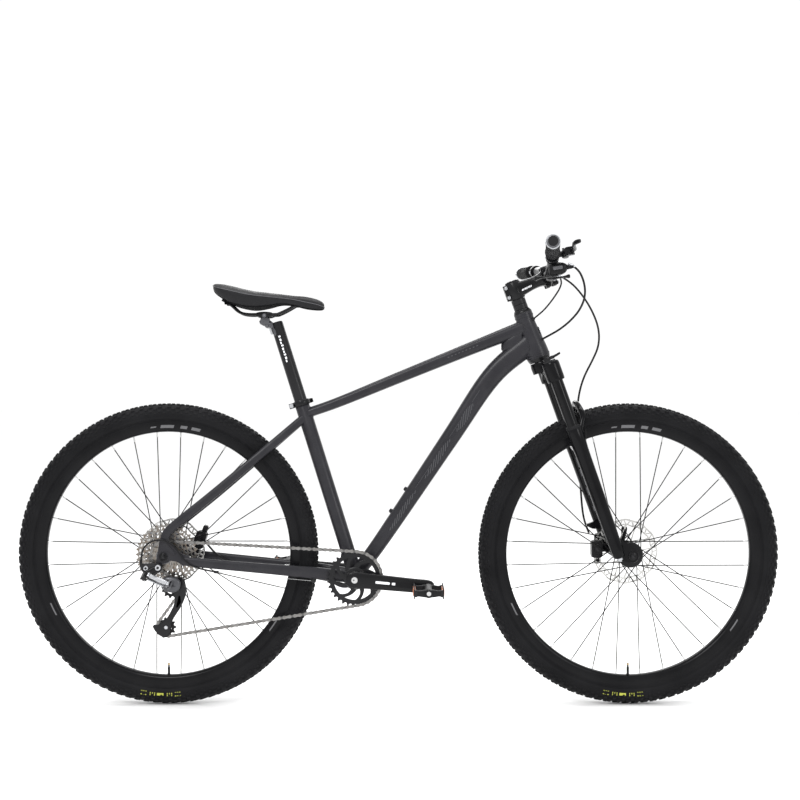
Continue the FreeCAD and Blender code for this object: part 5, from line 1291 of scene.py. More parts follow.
def fork():
    crown = Piece()
    arm = []
    for side, drop, fore, tall in ((-66, -60, 15, 17.5), (-52, -46, 16.5, 16), (-34, -34, 17.5, 14),
                                   (-17, -28, 19, 12.5),
                                   (0, -27, 20, 12.3), (17, -28, 19, 12.5), (34, -34, 17.5, 14),
                                   (52, -46, 16.5, 16), (66, -60, 15, 17.5)):
        arm.append((in_head(LEG_AHEAD - 1, side, drop), HEAD_AHEAD, HEAD_UP, fore, tall, 3.2))
    crown.sweep(smooth_stations(arm, 4), 40)
    crown.lathe([(14, -36), (26, -36), (26.6, -20), (25.2, -11.5), (24.4, -10), (14, -10)],
                head_place(0, 0, 0), 72)
    for side in (-1, 1):
        where = head_place(LEG_AHEAD, side * LEG_SIDE, 0)
        crown.lathe([(15.1, -66), (19.6, -66), (20.8, -64.8), (21.2, -60), (21.2, -26), (20.4, -20),
                     (18.6, -18), (15.1, -18)], where, 72)
        for fore in (-1, 1):
            rib = []
            for y, z, w, t in ((20, -38, 4, 3.4), (40, -46, 4.2, 4), (57, -58, 4, 4)):
                rib.append((in_head(LEG_AHEAD + fore * 15.5, side * y, z), HEAD_AHEAD, HEAD_UP, w, t, 2.6))
            crown.sweep(smooth_stations(rib, 4), 20)
    make(crown, "fork_crown_forging", M["fork"], "steering", "fork_paint", ["fork_crown"], smooth=45)
    steerer = Piece().lathe([(12, -12), (14.3, -12), (14.3, 188), (12, 188)], head_place(0, 0, 0), 48)
    make(steerer, "steerer_tube", M["anodised"], "steering", "black_aluminium", smooth=35)

    tubes, caps = Piece(), Piece()
    for side in (-1, 1):
        where = head_place(LEG_AHEAD, side * LEG_SIDE, 0)
        tubes.lathe([(13, -329), (15, -329), (15, -20), (13, -20)], where, 72)
        caps.lathe([(0, -20), (14.8, -20), (14.8, -15.6), (13.6, -14.6), (0, -14.6)], where, 48)
    make(tubes, "stanchion_pair", M["stanchion"], "steering", "fork_paint", ["stanchions"], smooth=35)
    make(caps, "fork_top_caps", M["anodised"], "steering", "black_aluminium", smooth=30)

    lowers, seals = Piece(), Piece()
    for side in (-1, 1):
        where = head_place(LEG_AHEAD, side * LEG_SIDE, 0)
        outside = [(12, -512), (14.6, -508), (15.4, -490), (16.2, -440), (16.8, -340), (17.2, -262),
                   (17.7, -240), (18.7, -226), (19.3, -214), (19.3, -196), (18.7, -190), (17.8, -186)]
        lowers.lathe([(0, -514)] + outside + [(15.4, -186), (15.4, -300), (13, -440), (0, -440)], where, 72)
        seals.lathe([(15.15, -187), (18.2, -187), (18.4, -184.4), (17.4, -181.2), (16.0, -179.4),
                     (15.15, -179.0)],
                    where, 64)
        lug = place(in_head(0, side * 57, 0), HEAD_AHEAD, -Y)
        outline = [(4, -462), (27, -466), (56, -506), (59, -520), (54, -532), (44, -536), (32, -532),
                   (8, -516)]
        lowers.prism(rounded(outline, 9), -6.4, 6.4, lug)
        lowers.lathe([(6, -7), (15, -7), (16, -6), (16, 6), (15, 7), (6, 7)],
                     upright(FRONT_AXLE + Y * side * 56.6), 48)
    arch = []
    for k in range(21):
        t = math.pi * k / 20
        lift = math.sin(t)
        arch.append((in_head(20 + 27 * min(1, lift * 2), -64.5 * math.cos(t), -214 + 80 * lift ** .8),
                     HEAD_AHEAD, (Y * -math.cos(t) + HEAD_UP * max(lift, .05)).normalized(),
                     8.5 - 2.2 * lift, 11 - 3.5 * lift, 3.0))
    lowers.sweep(smooth_stations(arch, 2), 28)
    for side in (-1, 1):
        brace = []
        for y, z, f in ((57, -226, 30), (50, -196, 41), (34, -166, 45), (10, -151, 46)):
            brace.append((in_head(f, side * y, z), HEAD_AHEAD, HEAD_UP, 3.2, 3.4, 2.4))
        lowers.sweep(smooth_stations(brace, 4), 16)
    for low, high in (((-12, -448), (-24, -426)), ((-12, -508), (-25, -486))):
        ends = [(low[0] + 22, low[1]), (low[0], low[1] + 6), (high[0], high[1] - 4), (high[0] + 2, high[1]),
                (high[0] + 14, high[1]), (low[0] + 26, low[1] + 24)]
        lowers.prism(rounded(ends, 5), -6, 6, place(in_head(0, 45, 0), HEAD_AHEAD, -Y))
    make(lowers, "fork_lower_casting", M["fork"], "fork_lowers", "fork_paint", ["fork_lowers"], smooth=45)
    make(seals, "fork_wiper_seals", M["grip"], "fork_lowers", "grip_rubber", smooth=35)

    marks = Piece()
    for side in (-1, 1):
        where = head_place(LEG_AHEAD, side * LEG_SIDE, 0)
        for low, high, wide in ((-288, -262, .42), (-312, -294, .42), (-336, -318, .30), (-362, -342, .42),
                                (-384, -368, .30), (-404, -390, .42)):
            radius = 17.2 + (low + 262) * .0052
            marks.lathe([(radius, low), (radius + .12, low), (radius + .12, high), (radius, high)], where, 16,
                        start=-side * math.pi / 2 - wide, sweep=wide * 2)
    make(marks, "fork_leg_marks", M["graphic"], "fork_lowers", "fork_paint", smooth=35)
    foot = Piece()
    for side in (-1, 1):
        where = head_place(LEG_AHEAD, side * LEG_SIDE, 0)
        foot.drum(7.2, -519, -513, where, 24, edge=.8).drum(4.2, -522, -518, where, 6, edge=.3)
    make(foot, "fork_foot_bolts", M["silver"], "fork_lowers", "silver_aluminium", smooth=35)

    knob_at = pivot("fork_lockout_turn")
    up = place(knob_at, HEAD_AHEAD, HEAD_UP)
    knob = Piece().lathe([(0, -3.4), (13.6, -3.4), (14, -2.6), (14, 1.6), (12.6, 4.4), (9, 5.2), (0, 5.2)],
                         up, 48)
    paddle = [(up @ Vector((x, 0, z)), Y, HEAD_UP, wide, tall, 3.4) for x, z, wide, tall in
              ((4, 1, 7.4, 3.4), (14, 1.4, 5.6, 3.2), (24, 3, 4.6, 3.0), (30, 4.4, 4.2, 2.6))]
    knob.sweep(smooth_stations(paddle, 4), 24)
    knob.drum(4, 5, 6.6, up, 24, edge=.5)
    make(knob, "lockout_knob", M["anodised"], "fork_lockout_lever", "black_aluminium",
         ["fork_lockout_lever"], smooth=40)


# ---------------------------------------------------------------- brakes

def brake_calipers():
    for name, body, centre, turn, at, bridge_at, banjo_at in (
            ("front", "fork_lowers", Vector((487, 0, 371)), 0, 36.9, -9.5, 20),
            ("rear", "frame", Vector((-489, 0, 393)), -20, 51.9, 9.5, 17)):
        spin = Matrix.Rotation(-math.radians(turn), 4, "Y")
        where = Matrix.Translation((centre.x, at, centre.z)) @ spin
        shell, bolts = Piece(), Piece()

        def slab(tool, x, z, wide, tall, low, high, corner):
            spot = where @ place(Vector((x, 0, z)), X, Y)
            tool.prism(rounded([(-wide / 2, -tall / 2), (wide / 2, -tall / 2), (wide / 2, tall / 2),
                                (-wide / 2, tall / 2)], corner), low, high, spot)

        slab(shell, 0, 0, 27, 42, 2.0, 12.5, 9)
        slab(shell, 0, 0, 27, 42, -12.5, -2.0, 9)
        slab(shell, bridge_at, 0, 7, 40, -6, 6, 3)
        for side in (-1, 1):
            spot = where @ place(Vector((0, 0, 0)), X, Y * side)
            shell.lathe([(0, 11), (12.6, 11), (12.6, 13.6), (11.4, 15), (7.5, 15), (7, 14), (0, 14)], spot,
                        48)
        for z in (-26, 26):
            slab(shell, 2, z, 13, 20, 2.4, 12, 5)
            spot = where @ place(Vector((2, 7, z)), X, Z * (1 if z > 0 else -1))
            bolts.drum(4.6, 8.5, 12, spot, 24, edge=.7).drum(2.2, 11.9, 12.05, spot, 6)
        spot = where @ place(Vector((0, 9, banjo_at)), X, Z)
        shell.drum(4.4, -2, 7, spot, 6, edge=.5)
        shell.drum(3.3, 6, 14, spot, 24, edge=.8)
        make(shell, name + "_caliper_shell", M["anodised"], body, "black_aluminium",
             [name + "_brake_caliper"], bevel=.8, smooth=35)
        make(bolts, name + "_caliper_bolts", M["bright"], body, "bright_steel", smooth=35)
        fins = Piece()
        for k in range(4):
            slab(fins, 0, -7 + k * 4.6, 14, 1.8, -1.6, 1.6, .5)
        make(fins, name + "_brake_pads", M["grey"], body, "dark_grey_aluminium", smooth=35)


# ---------------------------------------------------------------- cockpit

BAR_MIDDLE = in_head(88, 0, 178)
GRIP_TIP = Vector((333, 360, 1079))
BAR_BEND = Vector((360, 118, 1062))
BAR_RUN = (GRIP_TIP - BAR_BEND).normalized()


def mirror(v, side):
    return Vector((v.x, v.y * side, v.z))


def on_bar(side, y, turn=0.0):
    """A frame on the bar: X forward, Y outwards along the bar on that side, Z up."""
    at = mirror(GRIP_TIP + BAR_RUN * ((y - GRIP_TIP.y) / BAR_RUN.y), side)
    run = mirror(BAR_RUN, side)
    ahead = Vector((1, 0, 0.14))
    up = Vector((-ahead.z, 0, ahead.x))
    up = (up - run * up.dot(run)).normalized()
    across = run.cross(up)
    if across.x < 0:
        across = -across
    m = Matrix((across, run, up)).transposed().to_4x4()
    m.translation = at
    return m @ Matrix.Rotation(turn, 4, "Y")


def stem():
    clamp = Piece()
    where = head_place(0, 0, 0)
    clamp.lathe([(14.35, 151), (18.6, 151), (19.4, 152.2), (19.4, 191.8), (18.6, 193), (14.35, 193)], where,
                64)
    reach = [(in_head(x, 0, z), Y, HEAD_UP, wide, tall, 3.6) for x, z, wide, tall in
             ((6, 172, 18.2, 20.5), (22, 172.6, 17.6, 17.4), (46, 174.6, 17.0, 14.6), (64, 176.4, 19.4, 15.6),
              (76, 177.6, 22.5, 19.8))]
    clamp.sweep(smooth_stations(reach, 5), 40)
    back = [(in_head(x, 0, 172), Y, HEAD_UP, wide, 19.8, 3.6)
            for x, wide in ((-25, 10), (-19, 12), (-12, 13.5), (-6, 15))]
    clamp.sweep(smooth_stations(back, 3), 32)
    bar = place(BAR_MIDDLE, HEAD_AHEAD, Y)
    half_turn = [(20.9, -22.6), (20.9, 22.6), (16.0, 22.6), (16.0, -22.6)]
    clamp.lathe(half_turn, bar, 40, start=math.radians(94), sweep=math.radians(172))
    make(clamp, "stem_forging", M["anodised"], "steering", "black_aluminium", ["stem"], bevel=.7, smooth=40)

    plate, bolts, label = Piece(), Piece(), Piece()
    plate.lathe([(20.8, -22.6), (21.4, -12), (20.2, -6), (20.2, 6), (21.4, 12), (20.8, 22.6), (16.0, 22.6),
                 (16.0, -22.6)], bar, 40, start=math.radians(-82), sweep=math.radians(164))
    for side in (-1, 1):
        for up in (-1, 1):
            ear = place(in_head(88 + 9, side * 15.5, 178 + up * 20.6), Y, HEAD_AHEAD)
            plate.drum(5.6, -6, 6.5, ear, 28, edge=.8)
            clamp_ear = place(in_head(88 - 8, side * 15.5, 178 + up * 20.6), Y, HEAD_AHEAD)
            plate.drum(5.6, -7, 6.0, clamp_ear, 28, edge=.8)
            bolts.drum(3.9, 6.4, 9.6, ear, 24, edge=.6).drum(1.9, 9.55, 9.7, ear, 6)
    for up in (160, 184):
        spot = place(in_head(-20, 0, up), HEAD_AHEAD, Y)
        bolts.drum(4.2, -15.5, 12.5, spot, 24, edge=.6).drum(2.0, -15.7, -15.4, spot, 6)
    make(plate, "stem_faceplate", M["anodised"], "steering", "black_aluminium", bevel=.5, smooth=40)
    make(bolts, "stem_bolts", M["silver"], "steering", "silver_aluminium", smooth=35)
    for start, end in ((20, 44), (47, 52), (54.5, 57)):
        rings = []
        for step in range(6):
            x = start + (end - start) * step / 5
            tall = 17.6 + (14.6 - 17.6) * min(1, max(0, (x - 22) / 24))
            centre = 172.6 + (x - 22) * .083
            rings.append([in_head(x, y, centre + tall + lift)
                          for y, lift in ((-9, .1), (9, .1), (9, -1), (-9, -1))])
        label.rings(rings)
    for k, length in enumerate((2.4, 1.6, 2.4, 2.0, 1.4, 2.4, 2.0, 1.6)):
        at = 15 + k * 3.4
        for side in (-1, 1):
            rings = [[in_head(x + slope * .7, side * (18.1 - at * .018 + lift),
                              168 + (at - 22) * .1 + slope * 2.1)
                      for x, slope in ((at, -1), (at + length, -1), (at + length, 1), (at, 1))]
                     for lift in (-1.4, .12)]
            label.rings(rings)
    make(label, "stem_marks", M["white"], "steering", "silver_aluminium", smooth=35)

    stack = Piece()
    for low, high, radius in ((124.4, 137.0, 17.4), (137.3, 149.9, 17.4)):
        stack.lathe([(14.35, low), (radius - .7, low), (radius, low + .7), (radius, high - .7),
                     (radius - .7, high),
                     (14.35, high)], where, 64)
    stack.lathe([(0, 193.3), (16.6, 193.3), (17.4, 194), (17.2, 196), (14.8, 197.4), (6.6, 197.4),
                 (5.6, 195.6), (0, 195.6)], where, 64)
    make(stack, "headset_spacers_and_cap", M["anodised"], "steering", "black_aluminium", smooth=32)
    bolt = Piece().drum(4.4, 195.4, 198.6, where, 28, edge=.6).drum(2.1, 198.5, 198.7, where, 6)
    make(bolt, "top_cap_bolt", M["bright"], "steering", "bright_steel", smooth=35)
    cups = Piece()
    cups.lathe([(16, -9), (24.6, -9), (25.4, -8.4), (28.0, -.8), (28.0, .2), (16, .2)], where, 72)
    cups.lathe([(15, 114.8), (22.2, 114.8), (22.2, 116.2), (19.6, 122.6), (18, 124.1), (15, 124.1)], where,
               72)
    for side in (-1, 1):
        cup = place(BRACKET + Y * side * SHELL_HALF, X, Y * side)
        cups.lathe([(12.4, 0), (21.3, 0), (21.5, 1), (21.5, 6.6), (20.4, 7.8), (12.4, 7.8)], cup, 72)
        for k in range(16):
            tooth = cup @ Matrix.Rotation(TAU * k / 16, 4, "Z") @ Matrix.Translation((21.4, 0, 4.4))
            cups.block((1.7, 4.4, 5.0), tooth)
    make(cups, "headset_and_bracket_cups", M["anodised"], "frame", "black_aluminium", ["bearing_cups"],
         smooth=35)


def handlebar():
    left = [BAR_MIDDLE, BAR_MIDDLE + Y * 34, BAR_MIDDLE + Vector((-1.0, 56, .8)),
            BAR_MIDDLE.lerp(BAR_BEND, .66) + Vector((.5, 1, -1.5)),
            BAR_BEND.lerp(BAR_MIDDLE, .10) + Vector((0, 2, -1)),
            BAR_BEND.lerp(GRIP_TIP, .10), BAR_BEND.lerp(GRIP_TIP, .3), BAR_BEND.lerp(GRIP_TIP, .6), GRIP_TIP]
    line = smooth_line([mirror(p, -1) for p in reversed(left[1:])] + left, 8)
    radii = []
    for p in line:
        f = min(1, max(0, (abs(p.y) - 34) / 50))
        radii.append(15.9 + (11.1 - 15.9) * f * f * (3 - 2 * f))
    make(Piece().tube(line, radii, 40), "handlebar_tube", M["anodised"], "steering", "black_aluminium",
         ["handlebar"], smooth=60)
    marks = Piece()
    for side in (-1, 1):
        for k in range(6):
            where = on_bar(side, 196 + k * 5)
            marks.lathe([(11.1, -.3), (11.2, -.3), (11.2, .3), (11.1, .3)],
                        where @ place(Vector(), X, Y), 12, start=-2.2, sweep=1.2)
    make(marks, "bar_width_marks", M["mark"], "steering", "silver_aluminium", smooth=35)

    rubber, metal, caps = Piece(), Piece(), Piece()
    for side in (-1, 1):
        where = on_bar(side, 228) @ place(Vector(), X, Y)
        rubber.lathe([(11.15, 0), (16.9, 0), (17.4, 1), (17.4, 3.4), (15.6, 5), (14.9, 8), (14.9, 118),
                      (15.6, 119.6), (11.15, 119.6)], where, 64)
        for row in range(24):
            around = TAU * row / 24
            for k in range(27):
                h = 10.5 + k * 4.0 + (2.0 if row % 2 else 0)
                if 44 < h < 78 and row % 6 in (1, 2):
                    continue
                spot = where @ Matrix.Rotation(around, 4, "Z") @ place(Vector((14.8, 0, h)), Z, X)
                rubber.block((3.1, 2.9, 1.9), spot, taper=.72)
        metal.lathe([(11.2, 119.8), (15.6, 119.8), (16.1, 120.5), (16.1, 127.2), (15.6, 127.9),
                     (11.2, 127.9)], where, 64)
        screw = where @ place(Vector((0, 0, 123.9)), Z, -X)
        metal.drum(3.2, 15.4, 17.6, screw, 20, edge=.5)
        caps.lathe([(0, 126), (14.2, 126), (14.4, 128.4), (13.6, 130.6), (9, 131.6), (0, 131.8)], where, 48)
    make(rubber, "grip_pair", M["grip"], "steering", "grip_rubber", ["grips"], smooth=35)
    make(metal, "grip_lock_rings", M["silver"], "steering", "silver_aluminium", smooth=35)
    make(caps, "bar_end_plugs", M["grey"], "steering", "dark_grey_aluminium", smooth=35)


def bar_controls():
    for side, name in ((-1, "right"), (1, "left")):
        where = on_bar(side, 178)
        ring, bolts = Piece(), Piece()
        band = where @ place(Vector(), X, Y)
        ring.lathe([(11.2, -6.6), (15, -6.6), (15.7, -5.8), (15.7, 5.8), (15, 6.6), (11.2, 6.6)], band, 48)
        tank = []
        for y, x, wide, tall in ((-24, 30, 6, 6.2), (-19, 30, 8.8, 8.6), (-6, 29.5, 9.6, 9.4),
                                 (8, 30, 9.4, 9.6),
                                 (20, 32, 9.0, 9.2), (27, 36, 8.4, 9.4)):
            tank.append((where @ Vector((x, y, 2)), where.to_3x3() @ X, where.to_3x3() @ Z, wide, tall, 2.8))
        ring.sweep(smooth_stations(tank, 4), 32)
        neck = [(where @ Vector((x, 0, z)), where.to_3x3() @ Y, where.to_3x3() @ Z, w, t, 3)
                for x, z, w, t in ((11, 2, 6.4, 8.5), (18, 2, 6, 6.5), (27, 2, 7, 7))]
        ring.sweep(smooth_stations(neck, 4), 24)
        for z in (-5.6, 9.6):
            ear = where @ Matrix.Translation((41, 22, z))
            ring.prism(rounded([(-10, -8), (9, -8), (9, 8), (-10, 8)], 6), -1.7, 1.7, ear)
        fitting = where @ place(Vector((30, -23, 2)), X, -Y)
        bolts.drum(4.2, 0, 5, fitting, 6, edge=.4).drum(3.4, 4, 13, fitting, 24, edge=.6)
        lid = where @ Matrix.Translation((30, 3, 10.6))
        ring.prism(rounded([(-7, -15), (7, -15), (7, 15), (-7, 15)], 4), 0, 1.6, lid)
        for y in (-11, 11):
            bolts.drum(1.7, 1.5, 2.2, lid @ Matrix.Translation((0, y, 0)), 12)
        bolts.drum(3.2, -8.0, -7.0, where @ Matrix.Translation((43, 22, 0)), 20, edge=.3)
        bolts.drum(3.2, 11.2, 12.2, where @ Matrix.Translation((43, 22, 0)), 20, edge=.3)
        bolts.drum(2.0, -8, 12, where @ Matrix.Translation((43, 22, 0)), 16)
        bolts.drum(3.0, -2, 2.4, where @ place(Vector((-15.2, 0, 0)), Y, -X), 20, edge=.5)
        make(ring, "brake_%s_master" % name, M["anodised"], "steering", "black_aluminium",
             ["bar_control_bodies"] if name == "right" else (), bevel=.5, smooth=40)
        make(bolts, "brake_%s_fittings" % name, M["silver"], "steering", "silver_aluminium", smooth=35)

        blade = Piece()
        stations = []
        for x, y, wide, tall, power in ((43, 22, 5.6, 4.7, 3.0), (46.5, 30, 5.6, 4.4, 3.0),
                                        (49, 42, 5.4, 4.3, 3.0),
                                        (48.5, 62, 4.4, 4.4, 2.6), (47, 84, 4.0, 4.7, 2.6),
                                        (47.5, 104, 4.0, 4.9, 2.6),
                                        (50.5, 117, 4.2, 5.0, 2.6), (55.5, 124, 4.0, 4.9, 2.6),
                                        (60, 127.5, 3.2, 4.0, 2.6)):
            stations.append((x, y, wide, tall, power))
        ring_list = []
        for i, (x, y, wide, tall, power) in enumerate(stations):
            nx = stations[min(i + 1, 8)][0] - stations[max(i - 1, 0)][0]
            ny = stations[min(i + 1, 8)][1] - stations[max(i - 1, 0)][1]
            across = Vector((ny, -nx, 0)).normalized()
            ring_list.append((where @ Vector((x, y, 2)), where.to_3x3() @ across, where.to_3x3() @ Z, wide,
                              tall, power))
        blade.sweep(smooth_stations(ring_list, 5), 28)
        blade.drum(6.8, -4.6, 4.6, where @ Matrix.Translation((43, 22, 2)), 40, edge=.6)
        for k in range(3):
            hole = where @ place(Vector((52.6, 34 + k * 7.5, 2)), Y, X)
            blade.drum(1.9, -.6, .25, hole, 16)
        make(blade, "brake_lever_%s_blade" % name, M["anodised"], "brake_lever_" + name, "black_aluminium",
             ["brake_lever_" + name], smooth=50)
    shifter()


def shifter():
    where = on_bar(-1, 150)
    turn = where.to_3x3()
    pod = Piece()
    band = where @ place(Vector(), X, Y)
    pod.lathe([(11.2, -5), (14.6, -5), (15.1, -4.4), (15.1, 4.4), (14.6, 5), (11.2, 5)], band, 48)
    shape = []
    for z, x, wide, deep, power in ((-12, 4, 13, 10, 3.0), (-16, 8, 19, 14, 3.2), (-22, 10, 22, 15.5, 3.2),
                                    (-30, 9, 21.5, 15.2, 3.2), (-36, 7, 18.5, 13.6, 3.0),
                                    (-39.4, 5, 13, 10, 3.0)):
        shape.append((where @ Vector((x, 0, z)), turn @ X, turn @ Y, wide, deep, power))
    pod.sweep(smooth_stations(shape, 4), 40)
    pod.tube(smooth_line([where @ Vector(p) for p in ((27, 7, -26), (33, 9, -27), (40, 10.6, -27.6),
                                                      (45, 12, -28))], 4),
             [5.2] * 5 + [4.4] * 4 + [3.4] * 4, 24)
    make(pod, "shifter_pod", M["plastic"], "steering", "black_aluminium", smooth=50)
    trim = Piece()
    lid = where @ Matrix.Translation((9, 0, -14.4))
    trim.prism(rounded([(-9, -8), (12, -8), (12, 8), (-9, 8)], 5), -.4, .9, lid)
    window = where @ place(Vector((9, 15.0, -26)), X, Y)
    trim.prism(rounded([(-11, -4), (11, -4), (11, 4), (-11, 4)], 3), -.6, .8, window)
    trim.drum(7.4, -41.4, -39, where @ Matrix.Translation((-2, 0, 0)), 32, edge=.6)
    trim.drum(3.8, -52, -38, where @ Matrix.Translation((-2, 0, 0)), 24)
    make(trim, "shifter_trim", M["grey"], "steering", "dark_grey_aluminium", smooth=35)

    push = Piece()
    push.drum(8.6, -42.1, -38.0, where @ Matrix.Translation((-2, 0, 0)), 40, edge=.5)
    arm = [(where @ Vector((x, y, z)), turn @ Y, turn @ Z, w, t, 3.0) for x, y, z, w, t in
           ((-4, 0, -40, 7, 2.0), (-18, -.5, -40, 5.4, 2.1), (-32, -2, -40, 5.4, 2.3),
            (-40, -3, -40, 8.5, 4.5),
            (-44, -3, -40, 10.4, 5.6), (-47.5, -3, -40, 8.4, 4.4))]
    push.sweep(smooth_stations(arm, 4), 28)
    for k in range(4):
        push.block((.9, 17, .9), where @ Matrix.Translation((-47.2, -3, -43 + k * 2)), taper=.8)
    make(push, "thumb_lever_main", M["plastic"], "shift_lever_main", "black_plastic", ["shift_lever_main"],
         smooth=50)
    release = Piece()
    release.drum(7.6, -48.8, -44.7, where @ Matrix.Translation((-2, 0, 0)), 40, edge=.5)
    arm = [(where @ Vector((x, y, z)), turn @ Y, turn @ Z, w, t, 3.0) for x, y, z, w, t in
           ((0, 0, -46.7, 6, 2.0), (14, -.5, -46.6, 4.6, 2.1), (25, -3, -46.2, 5.8, 3.0),
            (31, -4, -46, 8.4, 4.4),
            (34.6, -4, -46, 6.6, 3.4))]
    release.sweep(smooth_stations(arm, 4), 28)
    make(release, "thumb_lever_release", M["plastic"], "shift_lever_release", "black_plastic",
         ["shift_lever_release"], smooth=50)


# ---------------------------------------------------------------- quick releases

def wheel_skewers():
    for name, body, half, axle, carrier in (("front_qr", "front_qr_lever", 63.0, FRONT_AXLE, "fork_lowers"),
                                            ("rear_qr", "rear_qr_lever", 75.5, REAR_AXLE, "frame")):
        up = Vector(axis(name + "_open")).cross(Y)
        if name == "front_qr" and up.z < 0 or name == "rear_qr" and up.x > 0:
            up = -up
        pin = pivot(name + "_open")
        lever = Piece().drum(6.6, -7.4, 7.4, place(pin, up, axis(name + "_open")), 36, edge=.8)
        blade = []
        across = up.cross(Y)
        for t, out, wide, thick in ((-2, 2.5, 5.2, 4.4), (8, 4.4, 4.8, 2.8), (24, 5.4, 5.0, 2.2),
                                    (40, 5.2, 6.4, 2.2),
                                    (50, 4.2, 7.6, 2.4), (57, 3.4, 6.2, 2.0)):
            blade.append((pin + up * t + Y * out, across, Y, wide, thick, 3.0))
        lever.sweep(smooth_stations(blade, 4), 28)
        make(lever, name + "_blade", M["anodised"], body, "black_aluminium", [body], smooth=50)

        fixed = Piece()
        where = upright(axle)
        out = half
        fixed.lathe([(4.6, out + .1), (8.8, out + .1), (9.4, out + .9), (9.4, out + 3.6), (8.2, out + 5.0),
                     (4.6, out + 5.0)], where, 48)
        fixed.lathe([(0, -out - 8.2), (4.2, -out - 8.2), (5.4, -out - 7.6), (6.4, -out - 5.2),
                     (9.4, -out - 4.2),
                     (9.6, -out - .8), (8.8, -out - .1), (0, -out - .1)], where, 40)
        for k in range(12):
            rib = where @ Matrix.Rotation(TAU * k / 12, 4, "Z") @ Matrix.Translation((9.4, 0, -out - 2.4))
            fixed.block((1.2, 2.0, 3.4), rib)
        fixed.drum(4.4, -half + .2, half - .2, where, 32)
        node = "front_axle" if name == "front_qr" else "rear_axle"
        make(fixed, name + "_skewer", M["anodised"], carrier, "bright_steel",
             [node], bevel=.2, smooth=35)


# ---------------------------------------------------------------- rear derailleur

